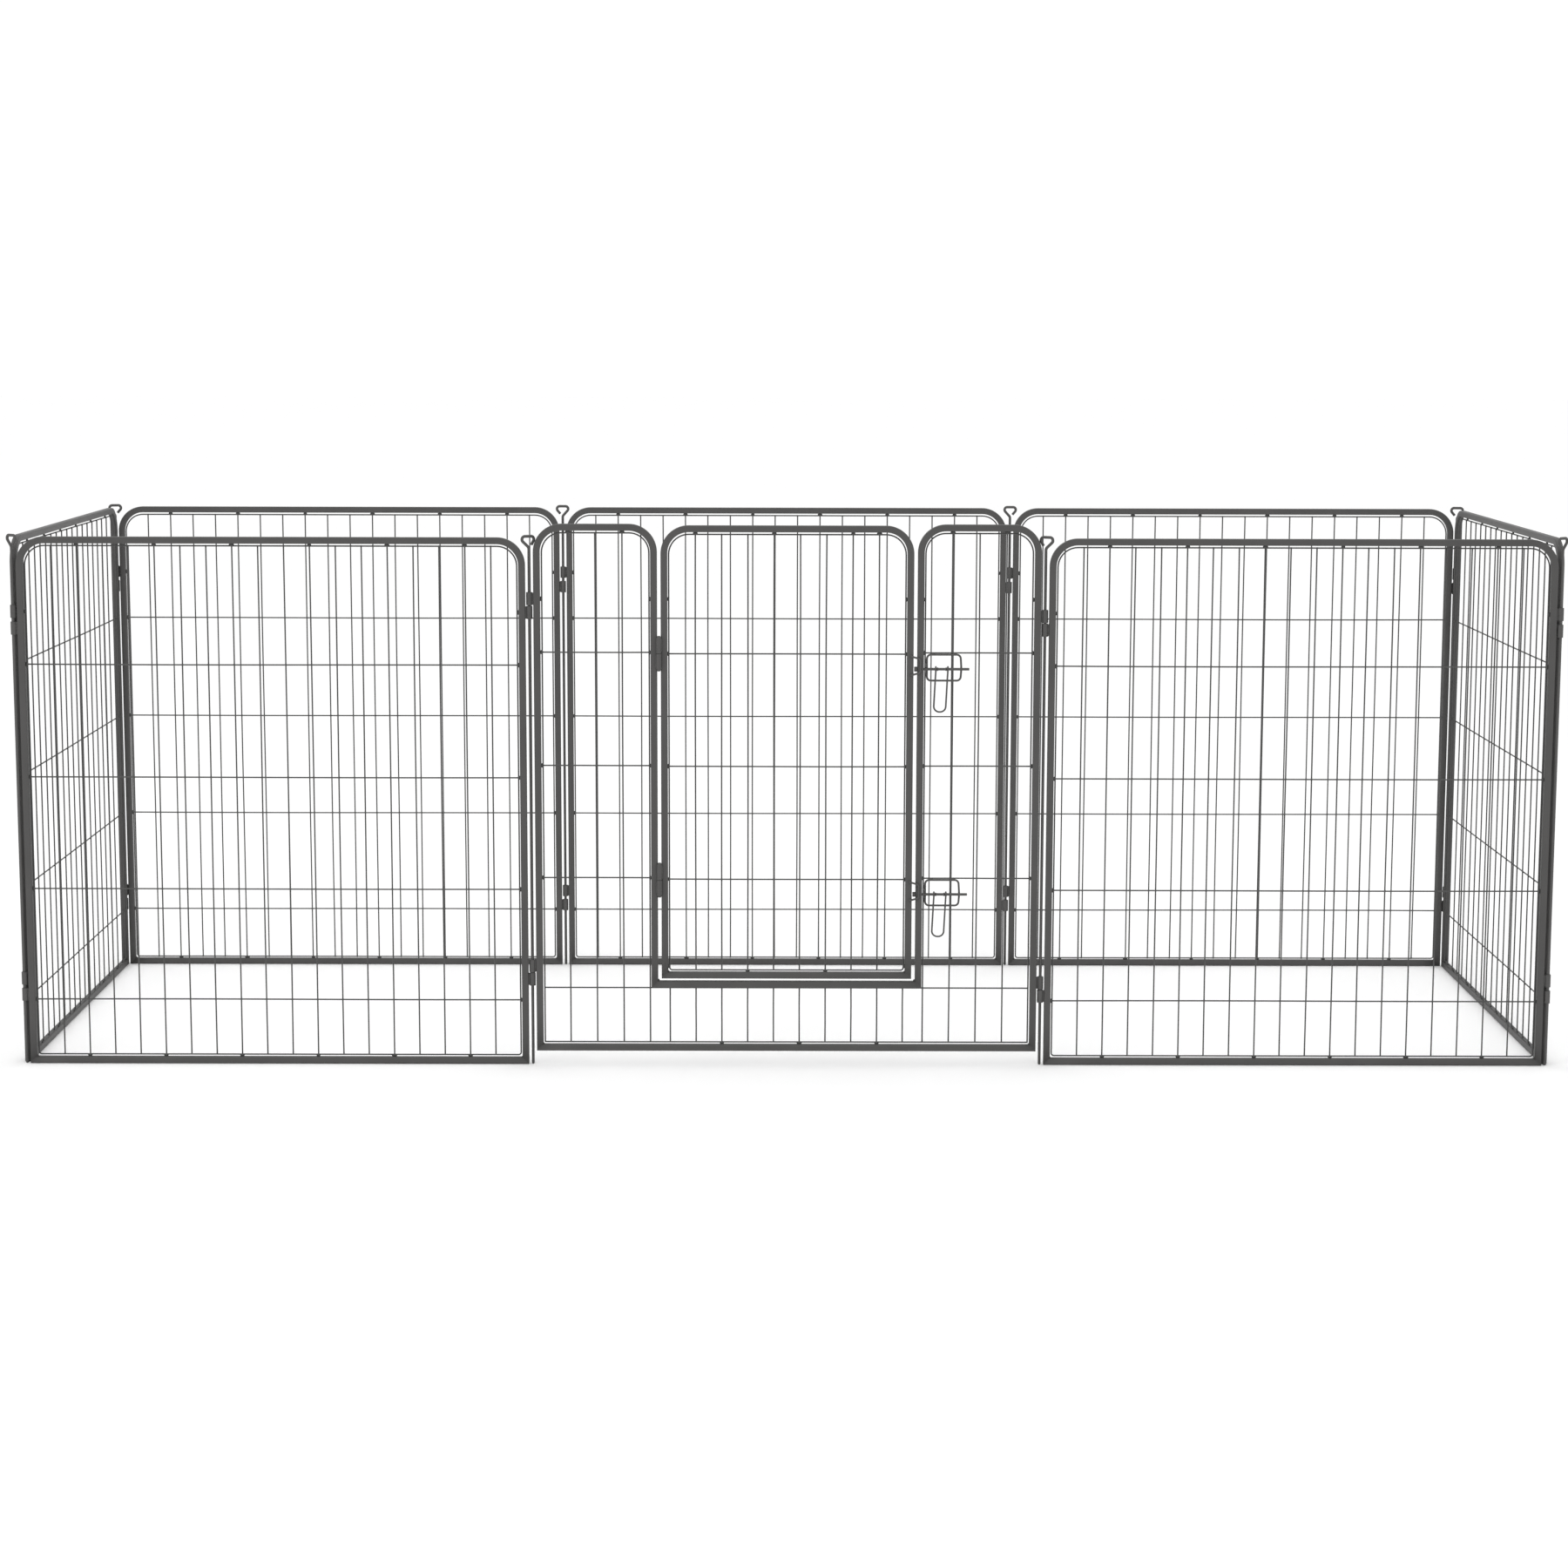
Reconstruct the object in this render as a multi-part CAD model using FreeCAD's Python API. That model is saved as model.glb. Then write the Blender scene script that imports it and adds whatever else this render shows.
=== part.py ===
import FreeCAD
import Part
import math
import os

from FreeCAD import Vector

# Metal pet playpen: eight square-tube panels with welded wire infill, joined by
# loose pins dropped through welded rings. The pen stands as a rectangle three
# panels wide and one panel deep. One front panel carries a door with two
# barrel hinges and two sliding bolts.
# Millimetres. +X is to the right, +Y away from the door side, +Z up. The origin
# is on the floor at the middle of the pen.

# ---- panel layout ----
PIN_PITCH = 770.0          # between the pin axes at the two ends of a panel
PANEL_WIDTH = 758.0        # over the outer faces of the two stiles
PANEL_HEIGHT = 800.0
DOOR_PANEL_LIFT = 20.5     # the door panel's rings rest above its neighbours'

# ---- square tube ----
TUBE = 10.0                # outer size of the section
TUBE_WALL = 1.0
TUBE_EDGE = 1.5            # outer radius of the section's edges
TOP_CORNER = 42.0          # outer radius of the bent top corners

# ---- wire infill ----
WIRE = 2.2                 # diameter of the infill wire
OUTLINE_DEPTH = 1.7        # outline and level wires behind the frame's mid-plane
UPRIGHT_DEPTH = OUTLINE_DEPTH + WIRE
OUTLINE_HALF = 366.5       # mid-plane of the panel to the outline wire
OUTLINE_TOP = 786.5
OUTLINE_BOTTOM = 13.0
OUTLINE_FOOT_BEND = 4.0
UPRIGHTS = 18              # between the two sides of the outline
LEVELS = (98.0, 268.3, 438.6, 608.9)
UPPER_TAB_LEVEL = 688.0
WIRE_OVERRUN = 1.0         # uprights run past the outline wire
TAB_LENGTH = 5.0           # weld tabs between outline wire and tube
TAB_DEPTH = 2.2
TAB_EVERY = 3              # top tabs stand at every third upright

# ---- rings and pins ----
RING_OUTER = 9.4
RING_BORE = 5.2
RING_LENGTH = 19.5
HIGH_RINGS = (121.0, 678.5)
LOW_RINGS = (96.0, 653.5)
RING_WELD = 6.0            # width of the weld pad between ring and stile
RING_WELD_REACH = 2.6
PIN = 4.4
PIN_GRIP_BOTTOM = 785.0    # where the rod turns into the grip
PIN_GRIP_TOP = 801.8
PIN_GRIP_WIDTH = 21.6      # between the wire centres
PIN_GRIP_FLARE = 4.2       # the bends' corner points stand out this much more
PIN_GRIP_BEND = 4.5
PIN_NECK_BEND = 6.0
PIN_FREE_END = (4.0, 3.8)  # from the point where the rod turns
PIN_SPLIT = 770.0          # the straight rod and its bent head are two solids, end to end
DOOR_PIN_TURN = 30.0       # the grips beside the raised door panel are turned
DOOR_PIN_SHIFT = 3.2       # and sit off centre, away from its corner
CORNER_PIN_TURN = 40.0

# ---- door panel (heights above its own bottom) ----
TOWER_STILE = 199.5        # mid-plane to the stile beside the doorway
SILL_BOTTOM = 98.0
SILL_FILLET = 4.0
TOWER_OUTLINE_INNER = 206.5
TOWER_UPRIGHTS = (246.5, 287.0, 327.4)
TOWER_LEVELS = (266.0, 437.0, 608.0)
SILL_UPRIGHTS = (19.6, 58.8, 98.0, 137.2, 176.4)
SILL_WIRE_LEVEL = SILL_BOTTOM - WIRE / 2

# ---- door ----
DOOR_WIDTH = 378.0
DOOR_BOTTOM = 112.0
DOOR_TOP = 798.0
DOOR_OUTLINE_HALF = 177.0
DOOR_OUTLINE_BOTTOM = 124.5
DOOR_FOOT_TAB_LEVEL = 130.5
DOOR_OUTLINE_TOP = 784.5
DOOR_UPRIGHTS = (19.6, 58.8, 98.0, 137.2)
DOOR_LEVELS = (264.0, 436.0, 606.0)

# ---- door hinges ----
HINGE_AXIS_X = -191.75     # the middle of the gap beside the door
HINGE_AXIS_Y = -7.8        # in front of the frame's mid-plane
HINGE_LEVELS = (264.0, 607.0)
HINGE_HALF = 26.5          # length of the lower and of the upper half
HINGE_OUTER = 8.0
HINGE_PIN = 4.6
HINGE_BORE = 5.0
HINGE_SOCKET = 20.0        # how far the post's pin reaches into the sleeve
HINGE_GAP = 0.4
HINGE_TAPER = 4.0          # length of the chamfered ends
HINGE_WELD = (2.0, 6.0)    # the weld lies this far beside the hinge axis

# ---- latches ----
LATCH_LEVELS = {"lower": 242.0, "upper": 584.0}
BOLT = 4.0
BOLT_START = 190.5         # tip beside the door stile
BOLT_END = 272.5
BOLT_DEPTH = -2.2
BOLT_HOLE = 4.6
BOLT_RELIEF = 3.0          # the door stile's hole runs this far past its middle
BOLT_STOP = 5.4            # swellings that keep the grip in place on the bolt
BOLT_STOP_LENGTH = 2.0
BOLT_STOP_PLAY = 0.4
GRIP_LEGS = (222.4, 240.4)
GRIP_LENGTH = 64.0
GRIP_LEAN = 3.2            # of the bottom, to the left
GRIP_KNEE = 18.0           # below the bolt, where the legs start to lean
GRIP_KNEE_LEAN = 1.0
GRIP_KNEE_BEND = 20.0
GRIP_ROUND = 0.93          # the bottom is nearly a half circle
GRIP_WIRE = 2.6
GRIP_EYE = 4.3             # inner diameter of the eyes round the bolt
LOOP_WIRE = 3.0
LOOP_LEFT = 209.2          # against the tower's outline wire
LOOP_RIGHT = 259.4
LOOP_BELOW = 17.6
LOOP_ABOVE = 21.4          # up to the level wire that it is welded to
LOOP_BEND = 6.0
LOOP_BOW = 1.4             # the outer side bows out beside the bolt
LOOP_BOW_BEND = 80.0
LOOP_DEPTH = 1.3
BUSH_OUTER = 7.4
BUSH_LENGTH = 4.5
KEEPER_WIRE = 3.0
KEEPER_ABOVE = 19.5        # above and below the bolt, at the door stile
KEEPER_BELOW = 9.0
KEEPER_TAPER = 4.0         # its outer side is this much shorter at each end
KEEPER_START = 1.0         # from the door stile's middle
KEEPER_REACH = 15.0
KEEPER_BEND = 4.0
KEEPER_FOOT = 4.0          # size of the weld pads under its ends
KEEPER_GAP = 0.35          # between the keeper and the tower stile's face

HALF_WIDTH = PANEL_WIDTH / 2
STILE = HALF_WIDTH - TUBE / 2
BEND = TOP_CORNER - TUBE / 2
HALF_DEPTH = TUBE / 2
HALF_PITCH = PIN_PITCH / 2
ROW = PIN_PITCH / 2        # distance of the front and the back row from the origin
DOOR_STILE = DOOR_WIDTH / 2 - TUBE / 2


def save(name, solids):
    """Write one node as a STEP file."""
    shape = solids[0] if len(solids) == 1 else Part.makeCompound(solids)
    if not shape.isValid():
        print("not valid:", name)
    shape.exportStep(f"parts/{name}.step")


def bent_path(points, radii, closed=False):
    """Straight runs through the points, joined by tangent arcs."""
    count = len(points)
    corners = range(count) if closed else range(1, count - 1)
    arcs = {}
    for place, corner in enumerate(corners):
        here = points[corner]
        back = (points[corner - 1] - here).normalize()
        ahead = (points[(corner + 1) % count] - here).normalize()
        radius = radii[place]
        half = back.getAngle(ahead) / 2
        centre = here + (back + ahead).normalize() * (radius / math.sin(half))
        middle = centre + (here - centre).normalize() * radius
        setback = radius / math.tan(half)
        arcs[corner] = (here + back * setback, middle, here + ahead * setback)
    edges = []
    last = count if closed else count - 1
    for run in range(last):
        after = (run + 1) % count
        start = arcs[run][2] if run in arcs else points[run]
        end = arcs[after][0] if after in arcs else points[after]
        edges.append(Part.LineSegment(start, end).toShape())
        if after in arcs:
            edges.append(Part.Arc(*arcs[after]).toShape())
    return Part.Wire(edges)


def square_section(centre, size, edge):
    """A rounded square in the horizontal plane."""
    half = size / 2
    corners = [
        centre + Vector(x * half, y * half, 0)
        for x, y in ((-1, -1), (1, -1), (1, 1), (-1, 1))
    ]
    return bent_path(corners, [edge] * 4, closed=True)


def tube_along(path, start):
    """Hollow square tube along a path that leaves its start point upwards."""
    outer = path.makePipeShell([square_section(start, TUBE, TUBE_EDGE)], True, False)
    inner_size = TUBE - 2 * TUBE_WALL
    inner_edge = TUBE_EDGE - TUBE_WALL
    inner = path.makePipeShell([square_section(start, inner_size, inner_edge)], True, False)
    return outer.cut(inner)


def arch(left, right, bottom, top):
    """A tube bent into a doorway shape: two stiles and a top rail."""
    rail = top - TUBE / 2
    points = [
        Vector(left, 0, bottom),
        Vector(left, 0, rail),
        Vector(right, 0, rail),
        Vector(right, 0, bottom),
    ]
    return tube_along(bent_path(points, [BEND, BEND]), points[0])


def rail_tube(left, right, bottom):
    """A straight level tube whose underside is at the given height."""
    tube = tube_along(
        Part.Wire([Part.LineSegment(Vector(0, 0, 0), Vector(0, 0, right - left)).toShape()]),
        Vector(0, 0, 0),
    )
    tube.rotate(Vector(0, 0, 0), Vector(0, 1, 0), 90)
    tube.translate(Vector(left, 0, bottom + TUBE / 2))
    return tube


def mitre_prism(outer, bottom, side, above):
    """Everything above or below the 45 degree mitre at one bottom corner."""
    reach = 3 * TUBE
    ends = [
        Vector(outer + side * TUBE, -TUBE, bottom - TUBE),
        Vector(outer - side * reach, -TUBE, bottom + reach),
    ]
    if above:
        ends.append(Vector(outer + side * TUBE, -TUBE, bottom + reach))
    else:
        ends.append(Vector(outer - side * reach, -TUBE, bottom - TUBE))
    face = Part.Face(Part.makePolygon(ends + ends[:1]))
    return face.extrude(Vector(0, 2 * TUBE, 0))


def mitred_rail(half, bottom):
    """A straight rail mitred at both ends."""
    rail = rail_tube(-half, half, bottom)
    return rail.cut([mitre_prism(side * half, bottom, side, True) for side in (-1, 1)])


def mitre_stiles(hoop, half, bottom, sides=(-1, 1)):
    """Trim the feet of a bent tube to meet a mitred rail."""
    return hoop.cut([mitre_prism(side * half, bottom, side, False) for side in sides])


def plain_frame():
    """Bent tube with a mitred bottom rail."""
    hoop = mitre_stiles(arch(-STILE, STILE, 0, PANEL_HEIGHT), HALF_WIDTH, 0)
    return [hoop, mitred_rail(HALF_WIDTH, 0)]


def rod(start, end, diameter):
    """A straight round bar between two points."""
    run = end - start
    return Part.makeCylinder(diameter / 2, run.Length, start, run)


def bent_rod(points, radii, diameter):
    """Round wire along straight runs and tangent arcs."""
    path = bent_path(points, radii)
    first = path.Edges[0]
    start = first.valueAt(first.FirstParameter)
    along = first.tangentAt(first.FirstParameter)
    section = Part.Wire([Part.Circle(start, along, diameter / 2).toShape()])
    return path.makePipeShell([section], True, False)


def upright(x, bottom, top):
    """An upright wire, behind the outline and level wires."""
    return rod(Vector(x, UPRIGHT_DEPTH, bottom), Vector(x, UPRIGHT_DEPTH, top), WIRE)


def level(left, right, height):
    """A level wire between the inner sides of two outline wires."""
    return rod(
        Vector(left + WIRE / 2, OUTLINE_DEPTH, height),
        Vector(right - WIRE / 2, OUTLINE_DEPTH, height),
        WIRE,
    )


def side_tab(tube_face, wire_centre, height):
    """Weld tab from a stile's inner face to the outline wire."""
    low = min(tube_face, wire_centre)
    reach = abs(tube_face - wire_centre)
    corner = Vector(low, OUTLINE_DEPTH - TAB_DEPTH / 2, height - TAB_LENGTH / 2)
    return Part.makeBox(reach, TAB_DEPTH, TAB_LENGTH, corner)


def level_tab(x, low, high):
    """Weld tab between a level tube and the outline wire."""
    corner = Vector(x - TAB_LENGTH / 2, OUTLINE_DEPTH - TAB_DEPTH / 2, low)
    return Part.makeBox(TAB_LENGTH, TAB_DEPTH, high - low, corner)


def plain_mesh():
    """Outline wire, uprights and level wires of one plain panel."""
    bend = BEND - (STILE - OUTLINE_HALF)
    pitch = 2 * OUTLINE_HALF / (UPRIGHTS + 1)
    places = [-OUTLINE_HALF + pitch * (1 + i) for i in range(UPRIGHTS)]
    tabs = []
    for side in (-1, 1):
        face = side * (STILE - TUBE / 2)
        for height in LEVELS + (UPPER_TAB_LEVEL,):
            tabs.append(side_tab(face, side * OUTLINE_HALF, height))
    for x in places[1::TAB_EVERY]:
        tabs.append(level_tab(x, OUTLINE_TOP, PANEL_HEIGHT - TUBE))
        tabs.append(level_tab(x, TUBE, OUTLINE_BOTTOM))
    halves = []
    for side in (-1, 1):
        points = [
            Vector(0, OUTLINE_DEPTH, OUTLINE_BOTTOM),
            Vector(side * OUTLINE_HALF, OUTLINE_DEPTH, OUTLINE_BOTTOM),
            Vector(side * OUTLINE_HALF, OUTLINE_DEPTH, OUTLINE_TOP),
            Vector(0, OUTLINE_DEPTH, OUTLINE_TOP),
        ]
        halves.append(bent_rod(points, [OUTLINE_FOOT_BEND, bend], WIRE))
    outline = halves[0].fuse([halves[1]] + tabs).removeSplitter()
    bottom = OUTLINE_BOTTOM - WIRE_OVERRUN
    top = OUTLINE_TOP + WIRE_OVERRUN
    wires = [upright(x, bottom, top) for x in places]
    wires += [level(-OUTLINE_HALF, OUTLINE_HALF, height) for height in LEVELS]
    return [outline] + wires


def ring(side, bottom):
    """Pin ring with the weld pad that joins it to the stile beside it."""
    axis = side * HALF_PITCH
    barrel = Part.makeCylinder(RING_OUTER / 2, RING_LENGTH, Vector(axis, 0, bottom))
    face = side * HALF_WIDTH
    pad = Part.makeBox(
        RING_WELD_REACH, RING_WELD, RING_LENGTH - 1,
        Vector(min(face, face + side * RING_WELD_REACH), -RING_WELD / 2, bottom + 0.5),
    )
    bore = Part.makeCylinder(RING_BORE / 2, RING_LENGTH, Vector(axis, 0, bottom))
    return barrel.fuse(pad).cut(bore)


def rings(low_side):
    """The four pin rings of one panel."""
    solids = [ring(low_side, bottom) for bottom in LOW_RINGS]
    solids += [ring(-low_side, bottom) for bottom in HIGH_RINGS]
    return solids


def hinge_pin(turn, free_side, shift):
    """Straight rod with an open triangular grip bent at its top."""
    half = PIN_GRIP_WIDTH / 2 + PIN_GRIP_FLARE
    points = [
        Vector(0, 0, 0),
        Vector(0, 0, PIN_GRIP_BOTTOM),
        Vector(-free_side * (half + shift), 0, PIN_GRIP_TOP),
        Vector(free_side * (half - shift), 0, PIN_GRIP_TOP),
        Vector(free_side * PIN_FREE_END[0], 0, PIN_GRIP_BOTTOM + PIN_FREE_END[1]),
    ]
    pin = bent_rod(points, [PIN_NECK_BEND, PIN_GRIP_BEND, PIN_GRIP_BEND], PIN)
    pin.rotate(Vector(0, 0, 0), Vector(0, 0, 1), turn)
    below = Part.makeBox(2 * PIN, 2 * PIN, PIN_SPLIT, Vector(-PIN, -PIN, 0))
    return [pin.common(below), pin.cut(below)]


def door_panel_frame():
    """Two towers, the sill between them and the bottom rail."""
    rail = mitred_rail(HALF_WIDTH, 0)
    sill_half = TOWER_STILE + TUBE / 2
    sill = mitred_rail(sill_half, SILL_BOTTOM)
    towers = []
    for side in (-1, 1):
        tower = arch(side * STILE, side * TOWER_STILE, 0, PANEL_HEIGHT)
        below_sill = Part.makeBox(
            2 * TUBE, 2 * TUBE, SILL_BOTTOM,
            Vector(side * TOWER_STILE - TUBE, -TUBE, 0),
        )
        tower = mitre_stiles(tower.cut(below_sill), HALF_WIDTH, 0, (side,))
        towers.append(mitre_stiles(tower, sill_half, SILL_BOTTOM, (side,)))
    for height in LATCH_LEVELS.values():
        towers[1] = towers[1].cut(rod(
            Vector(TOWER_STILE - TUBE, BOLT_DEPTH, height),
            Vector(TOWER_STILE + TUBE, BOLT_DEPTH, height),
            BOLT_HOLE,
        ))
    sill_top = SILL_BOTTOM + TUBE
    inner = TOWER_STILE - TUBE / 2
    for side in (-1, 1):
        corner = [
            Vector(side * inner, -HALF_DEPTH + TUBE_EDGE, sill_top),
            Vector(side * (inner - SILL_FILLET), -HALF_DEPTH + TUBE_EDGE, sill_top),
            Vector(side * inner, -HALF_DEPTH + TUBE_EDGE, sill_top + SILL_FILLET),
        ]
        fillet = Part.Face(Part.makePolygon(corner + corner[:1]))
        sill = sill.fuse(fillet.extrude(Vector(0, TUBE - 2 * TUBE_EDGE, 0)))
    return towers + [rail, sill]


def tower_mesh(side):
    """Wires of the tower on one side of the doorway, down to the floor rail."""
    bend = BEND - (STILE - OUTLINE_HALF)
    foot = OUTLINE_BOTTOM + WIRE / 2
    points = [
        Vector(side * TOWER_OUTLINE_INNER, OUTLINE_DEPTH, foot),
        Vector(side * TOWER_OUTLINE_INNER, OUTLINE_DEPTH, OUTLINE_TOP),
        Vector(side * OUTLINE_HALF, OUTLINE_DEPTH, OUTLINE_TOP),
        Vector(side * OUTLINE_HALF, OUTLINE_DEPTH, foot),
    ]
    tabs = []
    for height in TOWER_LEVELS + (UPPER_TAB_LEVEL,):
        outer_face = side * (STILE - TUBE / 2)
        inner_face = side * (TOWER_STILE + TUBE / 2)
        tabs.append(side_tab(outer_face, side * OUTLINE_HALF, height))
        tabs.append(side_tab(inner_face, side * TOWER_OUTLINE_INNER, height))
    for x in (TOWER_UPRIGHTS[0], TOWER_UPRIGHTS[2]):
        tabs.append(level_tab(side * x, OUTLINE_TOP, PANEL_HEIGHT - TUBE))
    outline = bent_rod(points, [bend, bend], WIRE).fuse(tabs).removeSplitter()
    bottom = OUTLINE_BOTTOM - WIRE_OVERRUN
    top = OUTLINE_TOP + WIRE_OVERRUN
    wires = [upright(side * x, bottom, top) for x in TOWER_UPRIGHTS]
    ends = sorted((side * TOWER_OUTLINE_INNER, side * OUTLINE_HALF))
    wires += [level(ends[0], ends[1], height) for height in TOWER_LEVELS]
    return [outline] + wires


def sill_mesh():
    """Wires below the sill, with the long wire along the bottom rail."""
    half = OUTLINE_HALF + WIRE_OVERRUN
    bottom_wire = rod(
        Vector(-half, OUTLINE_DEPTH, OUTLINE_BOTTOM),
        Vector(half, OUTLINE_DEPTH, OUTLINE_BOTTOM),
        WIRE,
    )
    places = [side * x for x in SILL_UPRIGHTS for side in (-1, 1)]
    tabs = [level_tab(x, TUBE, OUTLINE_BOTTOM) for x in places[1::TAB_EVERY]]
    bottom_wire = bottom_wire.fuse(tabs).removeSplitter()
    wires = [upright(x, OUTLINE_BOTTOM - WIRE_OVERRUN, SILL_BOTTOM) for x in places]
    spans = (
        (-OUTLINE_HALF, -TOWER_OUTLINE_INNER),
        (-TOWER_OUTLINE_INNER, TOWER_OUTLINE_INNER),
        (TOWER_OUTLINE_INNER, OUTLINE_HALF),
    )
    wires += [level(left, right, SILL_WIRE_LEVEL) for left, right in spans]
    return [bottom_wire] + wires


def door_frame():
    """Bent tube with a mitred bottom rail, drilled for the two bolts."""
    rail = mitred_rail(DOOR_WIDTH / 2, DOOR_BOTTOM)
    hoop = arch(-DOOR_STILE, DOOR_STILE, DOOR_BOTTOM, DOOR_TOP)
    hoop = mitre_stiles(hoop, DOOR_WIDTH / 2, DOOR_BOTTOM)
    for height in LATCH_LEVELS.values():
        hole = rod(
            Vector(DOOR_STILE - BOLT_RELIEF, BOLT_DEPTH, height),
            Vector(DOOR_STILE + TUBE, BOLT_DEPTH, height),
            BOLT_HOLE,
        )
        hoop = hoop.cut(hole)
    return [hoop, rail]


def door_mesh():
    """Wires of the door."""
    bend = BEND - (DOOR_STILE - DOOR_OUTLINE_HALF)
    tabs = []
    for side in (-1, 1):
        face = side * (DOOR_STILE - TUBE / 2)
        for height in DOOR_LEVELS + (UPPER_TAB_LEVEL, DOOR_FOOT_TAB_LEVEL):
            tabs.append(side_tab(face, side * DOOR_OUTLINE_HALF, height))
    for x in (-DOOR_UPRIGHTS[3], -DOOR_UPRIGHTS[0], DOOR_UPRIGHTS[2], DOOR_UPRIGHTS[3]):
        tabs.append(level_tab(x, DOOR_OUTLINE_TOP, DOOR_TOP - TUBE))
    for x in (-DOOR_UPRIGHTS[1], DOOR_UPRIGHTS[1]):
        tabs.append(level_tab(x, DOOR_BOTTOM + TUBE, DOOR_OUTLINE_BOTTOM))
    halves = []
    for side in (1, -1):
        points = [
            Vector(0, OUTLINE_DEPTH, DOOR_OUTLINE_BOTTOM),
            Vector(side * DOOR_OUTLINE_HALF, OUTLINE_DEPTH, DOOR_OUTLINE_BOTTOM),
            Vector(side * DOOR_OUTLINE_HALF, OUTLINE_DEPTH, DOOR_OUTLINE_TOP),
            Vector(0, OUTLINE_DEPTH, DOOR_OUTLINE_TOP),
        ]
        halves.append(bent_rod(points, [OUTLINE_FOOT_BEND, bend], WIRE))
    outline = halves[0].fuse([halves[1]] + tabs).removeSplitter()
    bottom = DOOR_OUTLINE_BOTTOM - WIRE_OVERRUN
    top = DOOR_OUTLINE_TOP + WIRE_OVERRUN
    wires = [upright(side * x, bottom, top) for x in DOOR_UPRIGHTS for side in (-1, 1)]
    wires += [level(-DOOR_OUTLINE_HALF, DOOR_OUTLINE_HALF, height) for height in DOOR_LEVELS]
    return [outline] + wires


def tapered_barrel(bottom, top, narrow_bottom):
    """A hinge half: a cylinder with one coned end."""
    base = bottom + (HINGE_TAPER if narrow_bottom else 0)
    axis = Vector(HINGE_AXIS_X, HINGE_AXIS_Y, base)
    barrel = Part.makeCylinder(HINGE_OUTER / 2, top - bottom - HINGE_TAPER, axis)
    narrow, wide = HINGE_OUTER / 4, HINGE_OUTER / 2
    if narrow_bottom:
        start = Vector(HINGE_AXIS_X, HINGE_AXIS_Y, bottom)
        cone = Part.makeCone(narrow, wide, HINGE_TAPER, start)
    else:
        start = Vector(HINGE_AXIS_X, HINGE_AXIS_Y, top - HINGE_TAPER)
        cone = Part.makeCone(wide, narrow, HINGE_TAPER, start)
    return barrel.fuse(cone)


def hinge_weld(side, bottom, top):
    """Weld bead from a hinge half to the stile's front face on one side."""
    near, far = HINGE_WELD
    ends = sorted((HINGE_AXIS_X + side * near, HINGE_AXIS_X + side * far))
    inset = HINGE_TAPER + 1
    return Part.makeBox(
        ends[1] - ends[0], -HALF_DEPTH - HINGE_AXIS_Y, top - bottom - 2 * inset,
        Vector(ends[0], HINGE_AXIS_Y, bottom + inset),
    )


def hinge_posts():
    """Lower hinge halves on the tower, each with a pin standing up."""
    solids = []
    for height in HINGE_LEVELS:
        post = tapered_barrel(height - HINGE_HALF, height - HINGE_GAP / 2, True)
        axis = Vector(HINGE_AXIS_X, HINGE_AXIS_Y, height - HINGE_TAPER - 2)
        post = post.fuse(Part.makeCylinder(HINGE_OUTER / 2, HINGE_TAPER + 2 - HINGE_GAP / 2, axis))
        post = post.fuse(Part.makeCylinder(HINGE_PIN / 2, HINGE_SOCKET + HINGE_TAPER, axis))
        weld = hinge_weld(-1, height - HINGE_HALF, height)
        solids.append(post.fuse(weld).removeSplitter())
    return solids


def hinge_sleeves():
    """Upper hinge halves on the door, each with a blind bore for the pin."""
    solids = []
    for height in HINGE_LEVELS:
        sleeve = tapered_barrel(height + HINGE_GAP / 2, height + HINGE_HALF, False)
        weld = hinge_weld(1, height, height + HINGE_HALF)
        bore = Part.makeCylinder(
            HINGE_BORE / 2, HINGE_SOCKET,
            Vector(HINGE_AXIS_X, HINGE_AXIS_Y, height - 1),
        )
        solids.append(sleeve.fuse(weld).cut(bore).removeSplitter())
    return solids


def latch_loop(height):
    """Rounded wire rectangle that guards the bolt."""
    low, high = height - LOOP_BELOW, height + LOOP_ABOVE
    middle = (LOOP_LEFT + LOOP_RIGHT) / 2
    left = [
        Vector(middle, LOOP_DEPTH, low),
        Vector(LOOP_LEFT, LOOP_DEPTH, low),
        Vector(LOOP_LEFT, LOOP_DEPTH, high),
        Vector(middle, LOOP_DEPTH, high),
    ]
    right = [
        Vector(middle, LOOP_DEPTH, low),
        Vector(LOOP_RIGHT, LOOP_DEPTH, low),
        Vector(LOOP_RIGHT + LOOP_BOW, LOOP_DEPTH, height),
        Vector(LOOP_RIGHT, LOOP_DEPTH, high),
        Vector(middle, LOOP_DEPTH, high),
    ]
    half = bent_rod(left, [LOOP_BEND, LOOP_BEND], LOOP_WIRE)
    other = bent_rod(right, [LOOP_BEND, LOOP_BOW_BEND, LOOP_BEND], LOOP_WIRE)
    return [half.fuse(other).removeSplitter()]


def latch_bushes():
    """Short guide bushes on the tower stile, in the gap beside the door."""
    face = TOWER_STILE - TUBE / 2
    solids = []
    for height in LATCH_LEVELS.values():
        start = Vector(face - BUSH_LENGTH, BOLT_DEPTH, height)
        end = Vector(face, BOLT_DEPTH, height)
        solids.append(rod(start, end, BUSH_OUTER).cut(rod(start, end, BOLT_HOLE)))
    return solids


def bolt(height):
    """Sliding rod with swellings beside the grip's eyes."""
    bar = rod(
        Vector(BOLT_START, BOLT_DEPTH, height),
        Vector(BOLT_END, BOLT_DEPTH, height),
        BOLT,
    )
    gap = GRIP_WIRE / 2 + BOLT_STOP_PLAY
    for start in (GRIP_LEGS[0] + gap, GRIP_LEGS[1] - gap - BOLT_STOP_LENGTH):
        bar = bar.fuse(rod(
            Vector(start, BOLT_DEPTH, height),
            Vector(start + BOLT_STOP_LENGTH, BOLT_DEPTH, height),
            BOLT_STOP,
        ))
    return [bar.removeSplitter()]


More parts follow.
